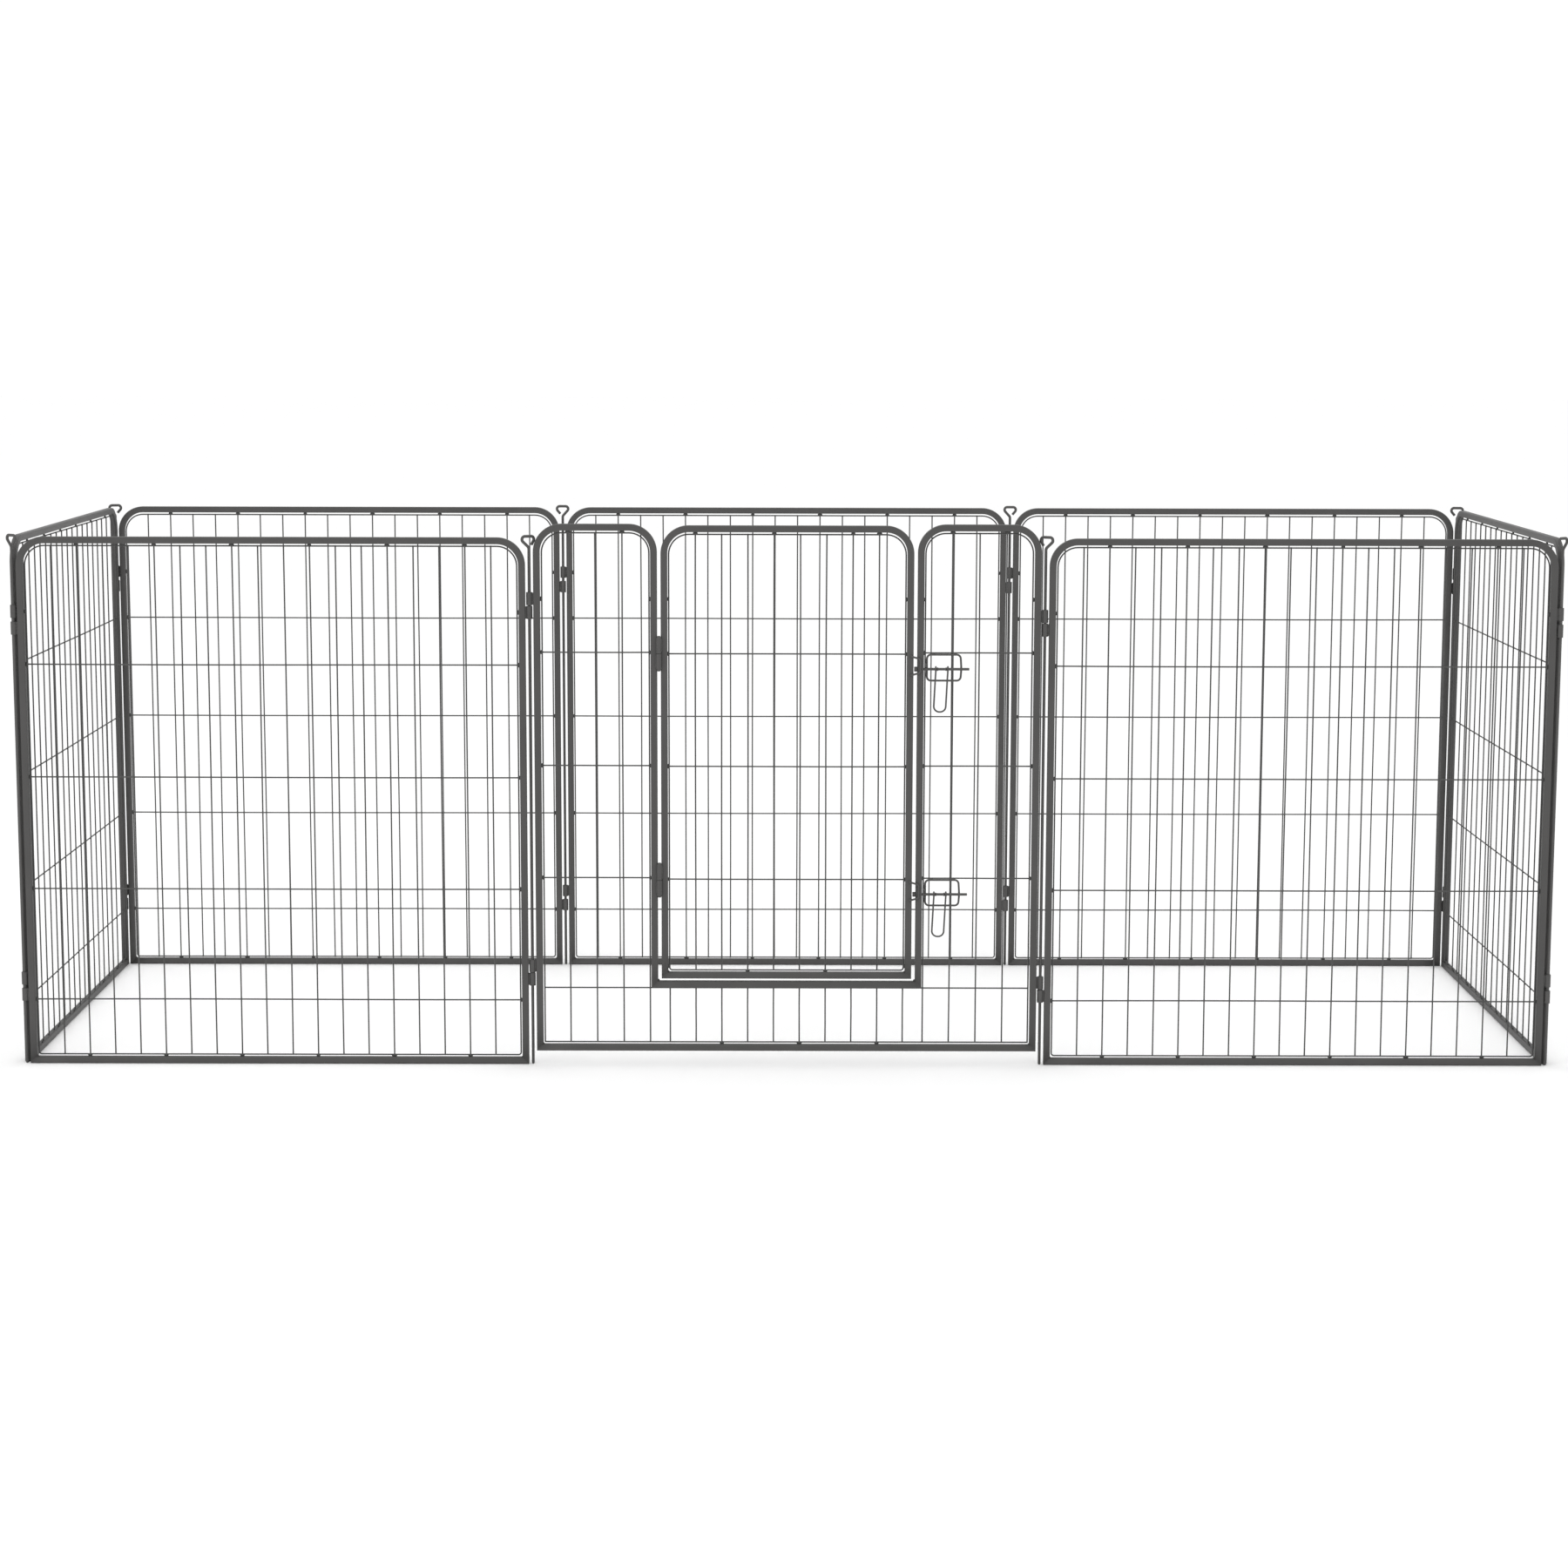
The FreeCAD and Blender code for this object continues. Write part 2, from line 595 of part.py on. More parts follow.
def bolt_grip(height):
    """U-shaped wire grip hanging from two eyes round the bolt."""
    eye_radius = (GRIP_EYE + GRIP_WIRE) / 2
    front = BOLT_DEPTH - eye_radius
    left, right = GRIP_LEGS
    points = [
        Vector(left, front, height),
        Vector(left - GRIP_KNEE_LEAN, front, height - GRIP_KNEE),
        Vector(left - GRIP_LEAN, front, height - GRIP_LENGTH),
        Vector(right - GRIP_LEAN, front, height - GRIP_LENGTH),
        Vector(right - GRIP_KNEE_LEAN, front, height - GRIP_KNEE),
        Vector(right, front, height),
    ]
    bow = GRIP_ROUND * (right - left) / 2
    grip = bent_rod(points, [GRIP_KNEE_BEND, bow, bow, GRIP_KNEE_BEND], GRIP_WIRE)
    for x in GRIP_LEGS:
        eye = Part.makeTorus(
            eye_radius, GRIP_WIRE / 2,
            Vector(x, BOLT_DEPTH, height), Vector(1, 0, 0),
        )
        grip = grip.fuse(eye)
    return [grip.removeSplitter()]


def keepers():
    """Wire staples on the door stile, reaching over the tower."""
    depth = -HALF_DEPTH - KEEPER_WIRE / 2 - KEEPER_GAP
    start = DOOR_STILE + KEEPER_START
    reach = DOOR_STILE + KEEPER_REACH
    solids = []
    for height in LATCH_LEVELS.values():
        high, low = height + KEEPER_ABOVE, height - KEEPER_BELOW
        points = [
            Vector(start, depth, high),
            Vector(reach, depth, high - KEEPER_TAPER),
            Vector(reach, depth, low + KEEPER_TAPER),
            Vector(start, depth, low),
        ]
        staple = bent_rod(points, [KEEPER_BEND, KEEPER_BEND], KEEPER_WIRE)
        for end in (high, low):
            pad = Part.makeBox(
                KEEPER_FOOT, -HALF_DEPTH - depth, KEEPER_FOOT,
                Vector(start - KEEPER_FOOT / 4, depth, end - KEEPER_FOOT / 2),
            )
            staple = staple.fuse(pad)
        solids.append(staple.removeSplitter())
    return solids


def placed(solids, turn, where):
    """Copies of the solids turned about the vertical and moved into the pen."""
    result = []
    for solid in solids:
        copy = solid.copy()
        copy.rotate(Vector(0, 0, 0), Vector(0, 0, 1), turn)
        copy.translate(where)
        result.append(copy)
    return result


# Each panel's own +Y side faces the inside of the pen.
PLAIN_PANELS = {
    "front_left": (0, Vector(-PIN_PITCH, -ROW, 0)),
    "front_right": (0, Vector(PIN_PITCH, -ROW, 0)),
    "left_side": (-90, Vector(-1.5 * PIN_PITCH, 0, 0)),
    "right_side": (90, Vector(1.5 * PIN_PITCH, 0, 0)),
    "back_left": (180, Vector(-PIN_PITCH, ROW, 0)),
    "back_center": (180, Vector(0, ROW, 0)),
    "back_right": (180, Vector(PIN_PITCH, ROW, 0)),
}

# Pins: place in plan as multiples of half the pitch, turn of the grip, side of
# its free end, and how far the grip sits off centre.
PINS = {
    "front_left_corner": (-3, -1, -CORNER_PIN_TURN, 1, 0),
    "front_left": (-1, -1, DOOR_PIN_TURN, 1, DOOR_PIN_SHIFT),
    "front_right": (1, -1, -DOOR_PIN_TURN, -1, DOOR_PIN_SHIFT),
    "front_right_corner": (3, -1, CORNER_PIN_TURN, -1, 0),
    "back_left_corner": (-3, 1, 12.0, 1, 0),
    "back_left": (-1, 1, 0.0, -1, 0),
    "back_right": (1, 1, 0.0, 1, 0),
    "back_right_corner": (3, 1, -12.0, -1, 0),
}


def build():
    os.makedirs("parts", exist_ok=True)
    frame, mesh, barrels = plain_frame(), plain_mesh(), rings(low_side=-1)
    for name, (turn, where) in PLAIN_PANELS.items():
        save(f"{name}_frame", placed(frame, turn, where))
        save(f"{name}_mesh", placed(mesh, turn, where))
        save(f"{name}_hinge_barrels", placed(barrels, turn, where))

    door_place = Vector(0, -ROW, DOOR_PANEL_LIFT)
    door_side = {
        "door_panel_frame": door_panel_frame(),
        "door_panel_left_mesh": tower_mesh(-1),
        "door_panel_right_mesh": tower_mesh(1),
        "door_panel_sill_mesh": sill_mesh(),
        "door_panel_hinge_barrels": rings(low_side=1),
        "door_hinge_posts": hinge_posts(),
        "latch_bushes": latch_bushes(),
        "door_frame": door_frame(),
        "door_mesh": door_mesh(),
        "door_hinge_sleeves": hinge_sleeves(),
        "door_keepers": keepers(),
    }
    for which, height in LATCH_LEVELS.items():
        door_side[f"{which}_latch_loop"] = latch_loop(height)
        door_side[f"{which}_bolt"] = bolt(height)
        door_side[f"{which}_bolt_grip"] = bolt_grip(height)
    for name, solids in door_side.items():
        save(name, placed(solids, 0, door_place))

    for name, (across, back, turn, free_side, shift) in PINS.items():
        where = Vector(across * HALF_PITCH, back * ROW, 0)
        save(f"hinge_pin_{name}", placed(hinge_pin(turn, free_side, shift), 0, where))


build()
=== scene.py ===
import math
import random

import bmesh
import bpy
from mathutils import Matrix, Vector


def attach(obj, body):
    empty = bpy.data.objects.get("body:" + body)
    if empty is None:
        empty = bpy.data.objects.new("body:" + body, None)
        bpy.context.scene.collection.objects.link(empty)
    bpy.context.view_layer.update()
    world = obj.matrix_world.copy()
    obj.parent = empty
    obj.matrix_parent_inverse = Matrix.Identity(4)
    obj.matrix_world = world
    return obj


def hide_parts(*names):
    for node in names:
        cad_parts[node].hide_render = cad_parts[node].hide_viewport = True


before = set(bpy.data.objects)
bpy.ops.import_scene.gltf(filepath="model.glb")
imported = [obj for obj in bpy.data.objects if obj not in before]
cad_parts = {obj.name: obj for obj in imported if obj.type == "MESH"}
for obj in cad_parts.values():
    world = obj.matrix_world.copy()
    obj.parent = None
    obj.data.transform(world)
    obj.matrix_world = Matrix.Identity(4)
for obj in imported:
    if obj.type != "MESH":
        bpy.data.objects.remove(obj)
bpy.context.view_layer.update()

# Lengths are in millimetres until MM turns them into metres. Each panel is made in its
# own frame: x across it, y towards the inside of the pen, z up from its bottom rail.
MM = 0.001
LONGEST_RUN = 60           # longest straight piece of a tube, an outline wire or a pin
WIRE_RUN = 32              # longest straight piece of a bowed wire
UP = Vector((0, 0, 1))
ACROSS = Vector((1, 0, 0))

# ---- panels ----
PITCH = 770.0              # between the pins of a panel
HALF = 379.0               # from a panel's middle to its edge
HEIGHT = 800.0
LIFT = 20.5                # the door panel stands this far off the floor
TUBE = 10.0
EDGE = 1.5                 # rounding of the tube's edges
EDGE_STRIP = 0.5           # narrow face beside each edge, for even shading
STILE = 374.0              # from a panel's middle to the middle of its stile
BEND = 37.0                # along the tube's middle, at the top corners
TOWER = 199.5              # the same for the stiles beside the doorway
SILL = 98.0                # underside of the rail below the door
DOOR_HALF = 189.0
DOOR_STILE = 184.0
DOOR_BOTTOM = 112.0
DOOR_TOP = 798.0

# ---- wires ----
WIRE_RADIUS = 1.1
WELD_SINK = 0.25           # uprights are pressed this far into the wires behind them
OUTLINE_DEPTH = 1.7
UPRIGHT_DEPTH = 3.9 - WELD_SINK
OVERRUN = 1.0              # uprights end this far past the outline wire
OUTLINE = 366.5
OUTLINE_TOP = 786.5
OUTLINE_BOTTOM = 13.0
OUTLINE_BEND = 29.5
OUTLINE_FOOT_BEND = 4.0
UPRIGHT_SPACES = 19
LEVELS = (98.0, 268.3, 438.6, 608.9)
UPPER_TAB = 688.0          # height of each panel's topmost side tabs
DOOR_FOOT_TAB = 130.5
TAB_EVERY = 3              # rail tabs stand at every third upright
TOWER_OUTLINE = 206.5
TOWER_UPRIGHTS = (246.5, 287.0, 327.4)
TOWER_LEVELS = (266.0, 437.0, 608.0)
SILL_UPRIGHTS = (19.6, 58.8, 98.0, 137.2, 176.4)
DOOR_OUTLINE = 177.0
DOOR_OUTLINE_BOTTOM = 124.5
DOOR_OUTLINE_TOP = 784.5
DOOR_OUTLINE_BEND = 30.0
DOOR_UPRIGHTS = (19.6, 58.8, 98.0, 137.2)
DOOR_LEVELS = (264.0, 436.0, 606.0)

# ---- rings, pins and hinges ----
HIGH_RINGS = (121.0, 678.5)
LOW_RINGS = (96.0, 653.5)
RING_RADIUS = 4.7
RING_BORE_RADIUS = 2.6
RING_LENGTH = 19.5
PIN_RADIUS = 2.2
PIN_NECK = 785.0           # where the rod turns into the grip
PIN_TOP = 801.8
PIN_GRIP_HALF = 15.0
PIN_FREE_END = (4.0, 788.8)
PIN_BENDS = (6.0, 4.5, 4.5)
HINGE_X, HINGE_Y = -191.75, -7.8
HINGE_LEVELS = (264.0, 607.0)
HINGE_RADIUS = 4.0
HINGE_PIN_RADIUS = 2.3
HINGE_BORE_RADIUS = 2.5

# ---- latches ----
LATCHES = {"lower": 242.0, "upper": 584.0}
LOOP_RADIUS = 1.5
LOOP_DEPTH = 1.3
LOOP_SIDES = (209.2, 259.4)
LOOP_BELOW = 17.6
LOOP_ABOVE = 21.4
LOOP_BOW = 1.4             # its outer side bulges this far
LOOP_BENDS = (6.0, 6.0, 6.0, 80.0, 6.0)
LOOP_LEVEL_WELDS = (217.5, 250.5)
LOOP_SIDE_WELDS = (11.0, -9.0)
BUSH_START = 190.0
BUSH_LENGTH = 4.5
BUSH_RADIUS = 3.7
BOLT_Y = -2.2
BOLT_START = 190.5
BOLT_LENGTH = 82.0
BOLT_RADIUS = 2.0
BOLT_BORE_RADIUS = 2.3
BOLT_RELIEF = 3.0          # the door stile's hole runs this far past its middle
BOLT_STOPS = (33.6, 46.2)  # swellings, measured from the bolt's tip
BOLT_STOP_RADIUS = 2.7
GRIP_RADIUS = 1.3
GRIP_EYE = 3.45            # from the bolt's middle to the eye's wire
GRIP_LEGS = (222.4, 240.4)
GRIP_LENGTH = 64.0
GRIP_LEAN = 3.2            # the grip's end hangs this far to the left
GRIP_KNEE = 18.0
GRIP_KNEE_LEAN = 1.0
GRIP_KNEE_BEND = 20.0
GRIP_ROUND = 0.93          # the end's bends, as a share of a half circle
KEEPER_RADIUS = 1.5
KEEPER_DEPTH = -6.85
KEEPER_START = 1.0         # from the middle of the door stile
KEEPER_REACH = 15.0
KEEPER_ABOVE = 19.5
KEEPER_BELOW = 9.0
KEEPER_TAPER = 4.0
KEEPER_BEND = 4.0

# ---- welds: half sizes across, deep and high ----
MITRE_BEAD = (1.1, 0.55, 1.1)
INNER_MITRE_BEAD = (1.1, 1.0, 1.1)
SILL_CORNER_WELD = (1.9, 3.4, 1.9)
SILL_SPOT = (1.9, 1.3, 1.2)
CROSSING_SPOT = (1.35, 0.75, 1.35)
TAB_DEPTH = 1.7
SIDE_TAB = 3.4
RAIL_TAB = 3.6
TAB_OVERLAP = 0.9
RING_BEAD = (1.5, 1.1, 1.3)
HINGE_BEAD = (1.9, 1.1, 1.5)
HINGE_BEAD_PITCH = 1.7
HINGE_BEAD_LENGTH = 17.0
LOOP_LEVEL_SPOT = (3.4, 1.2, 1.5)
LOOP_SIDE_SPOT = (1.2, 1.2, 2.8)
KEEPER_SPOT = (2.2, 1.1, 2.3)


# ---- mesh building ----
class Shape:
    """Vertices and faces of one piece, in millimetres."""

    def __init__(self):
        self.verts = []
        self.faces = []
        self.flat = set()

    def ring_strip(self, rings, close_path=False):
        """Skin a row of equal rings of points and cap its ends, unless it closes."""
        first = len(self.verts)
        size = len(rings[0])
        for ring in rings:
            self.verts.extend(ring)
        count = len(rings)
        for i in range(count if close_path else count - 1):
            low = first + i * size
            high = first + ((i + 1) % count) * size
            for k in range(size):
                n = (k + 1) % size
                self.faces.append((low + k, low + n, high + n, high + k))
        if not close_path:
            self.flat.add(len(self.faces))
            self.faces.append(tuple(first + k for k in reversed(range(size))))
            self.flat.add(len(self.faces))
            last = first + (count - 1) * size
            self.faces.append(tuple(last + k for k in range(size)))

    def blob(self, centre, radii, around=10, along=6):
        """A rounded lump, such as a weld."""
        first = len(self.verts)
        self.verts.append(centre + Vector((0, 0, -radii[2])))
        for i in range(1, along):
            a = math.pi * i / along
            for k in range(around):
                b = 2 * math.pi * k / around
                self.verts.append(centre + Vector((
                    radii[0] * math.sin(a) * math.cos(b),
                    radii[1] * math.sin(a) * math.sin(b),
                    -radii[2] * math.cos(a),
                )))
        self.verts.append(centre + Vector((0, 0, radii[2])))
        top = len(self.verts) - 1
        for k in range(around):
            n = (k + 1) % around
            self.faces.append((first, first + 1 + n, first + 1 + k))
            for i in range(along - 2):
                low = first + 1 + i * around
                self.faces.append((low + k, low + n, low + around + n, low + around + k))
            low = first + 1 + (along - 2) * around
            self.faces.append((low + k, low + n, top))

    def mesh(self, name):
        data = bpy.data.meshes.new(name)
        data.from_pydata([v * MM for v in self.verts], [], self.faces)
        data.polygons.foreach_set("use_smooth", [i not in self.flat for i in range(len(self.faces))])
        data.update()
        return data


def rounded(points, radii, steps=12):
    """Points along straight runs joined by tangent arcs."""
    line = [points[0]]
    for corner, radius in zip(range(1, len(points) - 1), radii):
        here = points[corner]
        back = (points[corner - 1] - here).normalized()
        ahead = (points[corner + 1] - here).normalized()
        half = back.angle(ahead) / 2
        middle = here + (back + ahead).normalized() * (radius / math.sin(half))
        start = here + back * (radius / math.tan(half)) - middle
        end = here + ahead * (radius / math.tan(half)) - middle
        for i in range(steps + 1):
            line.append(middle + start.slerp(end, i / steps).normalized() * radius)
    line.append(points[-1])
    return line


def divided(line, longest):
    """The same line with no run longer than the given length."""
    result = [line[0]]
    for a, b in zip(line, line[1:]):
        parts = max(1, math.ceil((b - a).length / longest))
        result += [a.lerp(b, (i + 1) / parts) for i in range(parts)]
    return result


def circle_section(radius, sides=12):
    """Points round a circle."""
    return [
        (radius * math.cos(2 * math.pi * k / sides), radius * math.sin(2 * math.pi * k / sides))
        for k in range(sides)
    ]


def tube_section():
    """Rounded square with narrow support strips beside each edge."""
    half = TUBE / 2
    section = []
    for quarter in range(4):
        turn = math.pi / 2 * quarter
        corner = []
        corner.append((half, half - EDGE - EDGE_STRIP))
        for i in range(5):
            a = math.pi / 2 * i / 4
            corner.append((half - EDGE + EDGE * math.cos(a), half - EDGE + EDGE * math.sin(a)))
        corner.append((half - EDGE - EDGE_STRIP, half))
        for a, b in corner:
            section.append((
                a * math.cos(turn) - b * math.sin(turn),
                a * math.sin(turn) + b * math.cos(turn),
            ))
    return section


SQUARE = tube_section()


def sweep(shape, line, section, start_dir=None, end_dir=None, dome=0.0, normal=Vector((0, 1, 0))):
    """Carry a section along a line in a plane.

    A start or end direction mitres that end; a dome rounds both ends off.
    """
    rings = []
    count = len(line)
    for i, point in enumerate(line):
        before = (point - line[i - 1]).normalized() if i else start_dir
        after = (line[i + 1] - point).normalized() if i < count - 1 else end_dir
        before = before or after
        after = after or before
        along = (before + after).normalized()
        side = along.cross(normal)
        stretch = 1 / max(0.5, along.dot(after))
        rings.append([point + side * (a * stretch) + normal * b for a, b in section])
    if dome:
        ends = []
        for tip, inner, ring in ((line[0], line[1], rings[0]), (line[-1], line[-2], rings[-1])):
            away = (tip - inner).normalized()
            full = [p - away * dome for p in ring]
            narrow = [tip + (p - tip) * 0.7 for p in ring]
            ends.append((full, narrow))
        rings = [ends[0][1], ends[0][0]] + rings[1:-1] + [ends[1][0], ends[1][1]]
    shape.ring_strip(rings)


def closed_sweep(shape, line, section, normal=Vector((0, 1, 0))):
    """Carry a section round a closed line in a plane."""
    rings = []
    count = len(line)
    for i, point in enumerate(line):
        before = (point - line[i - 1]).normalized()
        after = (line[(i + 1) % count] - point).normalized()
        along = (before + after).normalized()
        side = along.cross(normal)
        stretch = 1 / max(0.5, along.dot(after))
        rings.append([point + side * (a * stretch) + normal * b for a, b in section])
    shape.ring_strip(rings, close_path=True)


def lathe(shape, profile, origin, axis, sides=32, hollow=False):
    """Turn a profile of (radius, distance along the axis) about an axis."""
    axis = axis.normalized()
    across = axis.orthogonal().normalized()
    other = axis.cross(across)
    rings = []
    for radius, along in profile:
        rings.append([
            origin + axis * along + (across * math.cos(a) + other * math.sin(a)) * radius
            for a in (2 * math.pi * k / sides for k in range(sides))
        ])
    shape.ring_strip(rings, close_path=hollow)


def bead(shape, start, end, size, rng, pitch=1.5):
    """A weld bead: overlapping lumps along a line."""
    count = max(2, round((end - start).length / pitch))
    for i in range(count):
        centre = start.lerp(end, (i + 0.5) / count)
        swell = rng.uniform(0.85, 1.12)
        shape.blob(centre, [s * swell for s in size], 8, 5)


def at(x, z, y=0.0):
    """A point of a panel; most lie in its middle plane."""
    return Vector((x, y, z))


def drill(shape, start, depth):
    """Cut the bolts' holes into a shape: across the panel, from a start for a depth."""
    cutter = Shape()
    for z in LATCHES.values():
        profile = [(BOLT_BORE_RADIUS, 0.0), (BOLT_BORE_RADIUS, depth)]
        lathe(cutter, profile, at(start, z, BOLT_Y), ACROSS, 28)
    cutter.flat = set(range(len(cutter.faces)))
    blank, tool = (bpy.data.objects.new("drill", item.mesh("drill")) for item in (shape, cutter))
    for item in (blank, tool):
        bpy.context.scene.collection.objects.link(item)
        bm = bmesh.new()
        bm.from_mesh(item.data)
        bmesh.ops.recalc_face_normals(bm, faces=bm.faces)
        bm.to_mesh(item.data)
        bm.free()
    cut = blank.modifiers.new("drill", "BOOLEAN")
    cut.operation = "DIFFERENCE"
    cut.solver = "EXACT"
    cut.object = tool
    bpy.context.view_layer.update()
    result = blank.evaluated_get(bpy.context.evaluated_depsgraph_get()).to_mesh()
    shape.verts = [vertex.co / MM for vertex in result.vertices]
    shape.faces = [tuple(face.vertices) for face in result.polygons]
    shape.flat = {face.index for face in result.polygons if not face.use_smooth}
    for item in (blank, tool):
        data = item.data
        bpy.data.objects.remove(item)
        bpy.data.meshes.remove(data)


# ---- frames ----
def hoop(shape, left, right, bottom, top, left_foot=None, right_foot=None, feet=(None, None)):
    """Bent tube; each foot may stand higher and is mitred towards its rail."""
    rail = top - TUBE / 2
    low_left = bottom if left_foot is None else left_foot
    low_right = bottom if right_foot is None else right_foot
    points = [at(left, low_left), at(left, rail), at(right, rail), at(right, low_right)]
    line = divided(rounded(points, [BEND, BEND], 16), LONGEST_RUN)
    sweep(shape, line, SQUARE, feet[0], feet[1])


def mitred_rail(shape, half, bottom):
    """Bottom rail between two stiles, cut at 45 degrees where it meets them."""
    height = bottom + TUBE / 2
    inset = TUBE / 2
    line = divided([at(-half + inset, height), at(half - inset, height)], LONGEST_RUN)
    sweep(shape, line, SQUARE, -UP, UP)


def mitre_weld(shape, x, z, side, rng):
    """Ground-down weld along the mitre on the panel's two faces and inside."""
    reach, depth, pitch = 3.6, 4.6, 1.2
    for face in (-1, 1):
        start = at(x + side * reach, z - reach, face * depth)
        end = at(x - side * reach, z + reach, face * depth)
        bead(shape, start, end, MITRE_BEAD, rng, pitch)
    inside, half = 5.4, 3.2
    start = at(x - side * inside, z + inside, -half)
    end = at(x - side * inside, z + inside, half)
    bead(shape, start, end, INNER_MITRE_BEAD, rng, pitch)


def plain_frame():
    """Bent tube and bottom rail of a panel without a door."""
    shape, rng = Shape(), random.Random(11)
    low = TUBE / 2
    hoop(shape, -STILE, STILE, low, HEIGHT, feet=(-ACROSS, -ACROSS))
    mitred_rail(shape, HALF, 0)
    for side in (-1, 1):
        mitre_weld(shape, side * STILE, low, side, rng)
    return shape


def door_panel_frame():
    """Two towers, the rail below the door and the bottom rail."""
    shape, rng = Shape(), random.Random(12)
    low, sill = TUBE / 2, SILL + TUBE / 2
    hoop(shape, TOWER, STILE, low, HEIGHT, left_foot=sill, feet=(ACROSS, -ACROSS))
    drill(shape, TOWER - TUBE, 2 * TUBE)
    hoop(shape, -STILE, -TOWER, low, HEIGHT, right_foot=sill, feet=(-ACROSS, ACROSS))
    mitred_rail(shape, HALF, 0)
    mitred_rail(shape, TOWER + TUBE / 2, SILL)
    for side in (-1, 1):
        mitre_weld(shape, side * STILE, low, side, rng)
        mitre_weld(shape, side * TOWER, sill, side, rng)
        shape.blob(at(side * (TOWER - 5.6), SILL + TUBE + 0.9), SILL_CORNER_WELD)
    return shape


def door_frame():
    """Bent tube and bottom rail of the door."""
    shape, rng = Shape(), random.Random(13)
    low = DOOR_BOTTOM + TUBE / 2
    hoop(shape, -DOOR_STILE, DOOR_STILE, low, DOOR_TOP, feet=(-ACROSS, -ACROSS))
    drill(shape, DOOR_STILE - BOLT_RELIEF, TUBE)
    mitred_rail(shape, DOOR_HALF, DOOR_BOTTOM)
    for side in (-1, 1):
        mitre_weld(shape, side * DOOR_STILE, low, side, rng)
    return shape


# ---- wires ----
ROUND = circle_section(WIRE_RADIUS, 12)


def straight_wire(shape, start, end, rng, bow=0.45):
    """A wire with the slight bow that welded mesh has, in the panel's plane."""
    run = end - start
    sideways = Vector((run.z, 0, -run.x)).normalized()
    line = divided([start, end], WIRE_RUN)
    one, two = rng.uniform(-bow, bow), rng.uniform(-bow, bow) * 0.6
    for i, point in enumerate(line):
        t = i / (len(line) - 1)
        point += sideways * (one * math.sin(math.pi * t) + two * math.sin(2 * math.pi * t))
    sweep(shape, line, ROUND, dome=0.35)


def upright(shape, x, bottom, top, rng):
    """Upright wire across an outline wire's bottom and top."""
    straight_wire(shape, at(x, bottom - OVERRUN, UPRIGHT_DEPTH), at(x, top + OVERRUN, UPRIGHT_DEPTH), rng)


def crossing_welds(shape, places, heights):
    """Spot welds between the uprights and the wires behind them."""
    for x in places:
        for z in heights:
            shape.blob(at(x, z, OUTLINE_DEPTH + 1.0), CROSSING_SPOT, 8, 5)


def side_tab(shape, face, wire, height, rng):
    """Weld from a stile to the outline wire."""
    reach = abs(face - wire) / 2 + TAB_OVERLAP
    centre = at((face + wire) / 2, height, OUTLINE_DEPTH)
    shape.blob(centre, (reach, TAB_DEPTH, SIDE_TAB * rng.uniform(0.85, 1.1)))


def rail_tab(shape, x, low, high, rng):
    """Weld from a rail to the outline wire."""
    reach = (high - low) / 2 + TAB_OVERLAP
    centre = at(x, (low + high) / 2, OUTLINE_DEPTH)
    shape.blob(centre, (RAIL_TAB * rng.uniform(0.85, 1.15), TAB_DEPTH, reach))


def plain_mesh():
    """Wires of a panel without a door."""
    shape, rng = Shape(), random.Random(21)
    points = [
        at(0, OUTLINE_BOTTOM, OUTLINE_DEPTH),
        at(-OUTLINE, OUTLINE_BOTTOM, OUTLINE_DEPTH),
        at(-OUTLINE, OUTLINE_TOP, OUTLINE_DEPTH),
        at(OUTLINE, OUTLINE_TOP, OUTLINE_DEPTH),
        at(OUTLINE, OUTLINE_BOTTOM, OUTLINE_DEPTH),
        at(0, OUTLINE_BOTTOM, OUTLINE_DEPTH),
    ]
    line = rounded(points, [OUTLINE_FOOT_BEND, OUTLINE_BEND, OUTLINE_BEND, OUTLINE_FOOT_BEND])
    closed_sweep(shape, divided(line, LONGEST_RUN)[:-1], ROUND)
    pitch = 2 * OUTLINE / UPRIGHT_SPACES
    places = [-OUTLINE + pitch * (i + 1) for i in range(UPRIGHT_SPACES - 1)]
    for x in places:
        upright(shape, x, OUTLINE_BOTTOM, OUTLINE_TOP, rng)
    for z in LEVELS:
        straight_wire(shape, at(-OUTLINE, z, OUTLINE_DEPTH), at(OUTLINE, z, OUTLINE_DEPTH), rng)
    crossing_welds(shape, places, (OUTLINE_BOTTOM,) + LEVELS + (OUTLINE_TOP,))
    for side in (-1, 1):
        for z in LEVELS + (UPPER_TAB,):
            side_tab(shape, side * (STILE - TUBE / 2), side * OUTLINE, z, rng)
    for x in places[1::TAB_EVERY]:
        rail_tab(shape, x, OUTLINE_TOP, HEIGHT - TUBE, rng)
        rail_tab(shape, x, TUBE, OUTLINE_BOTTOM, rng)
    return shape


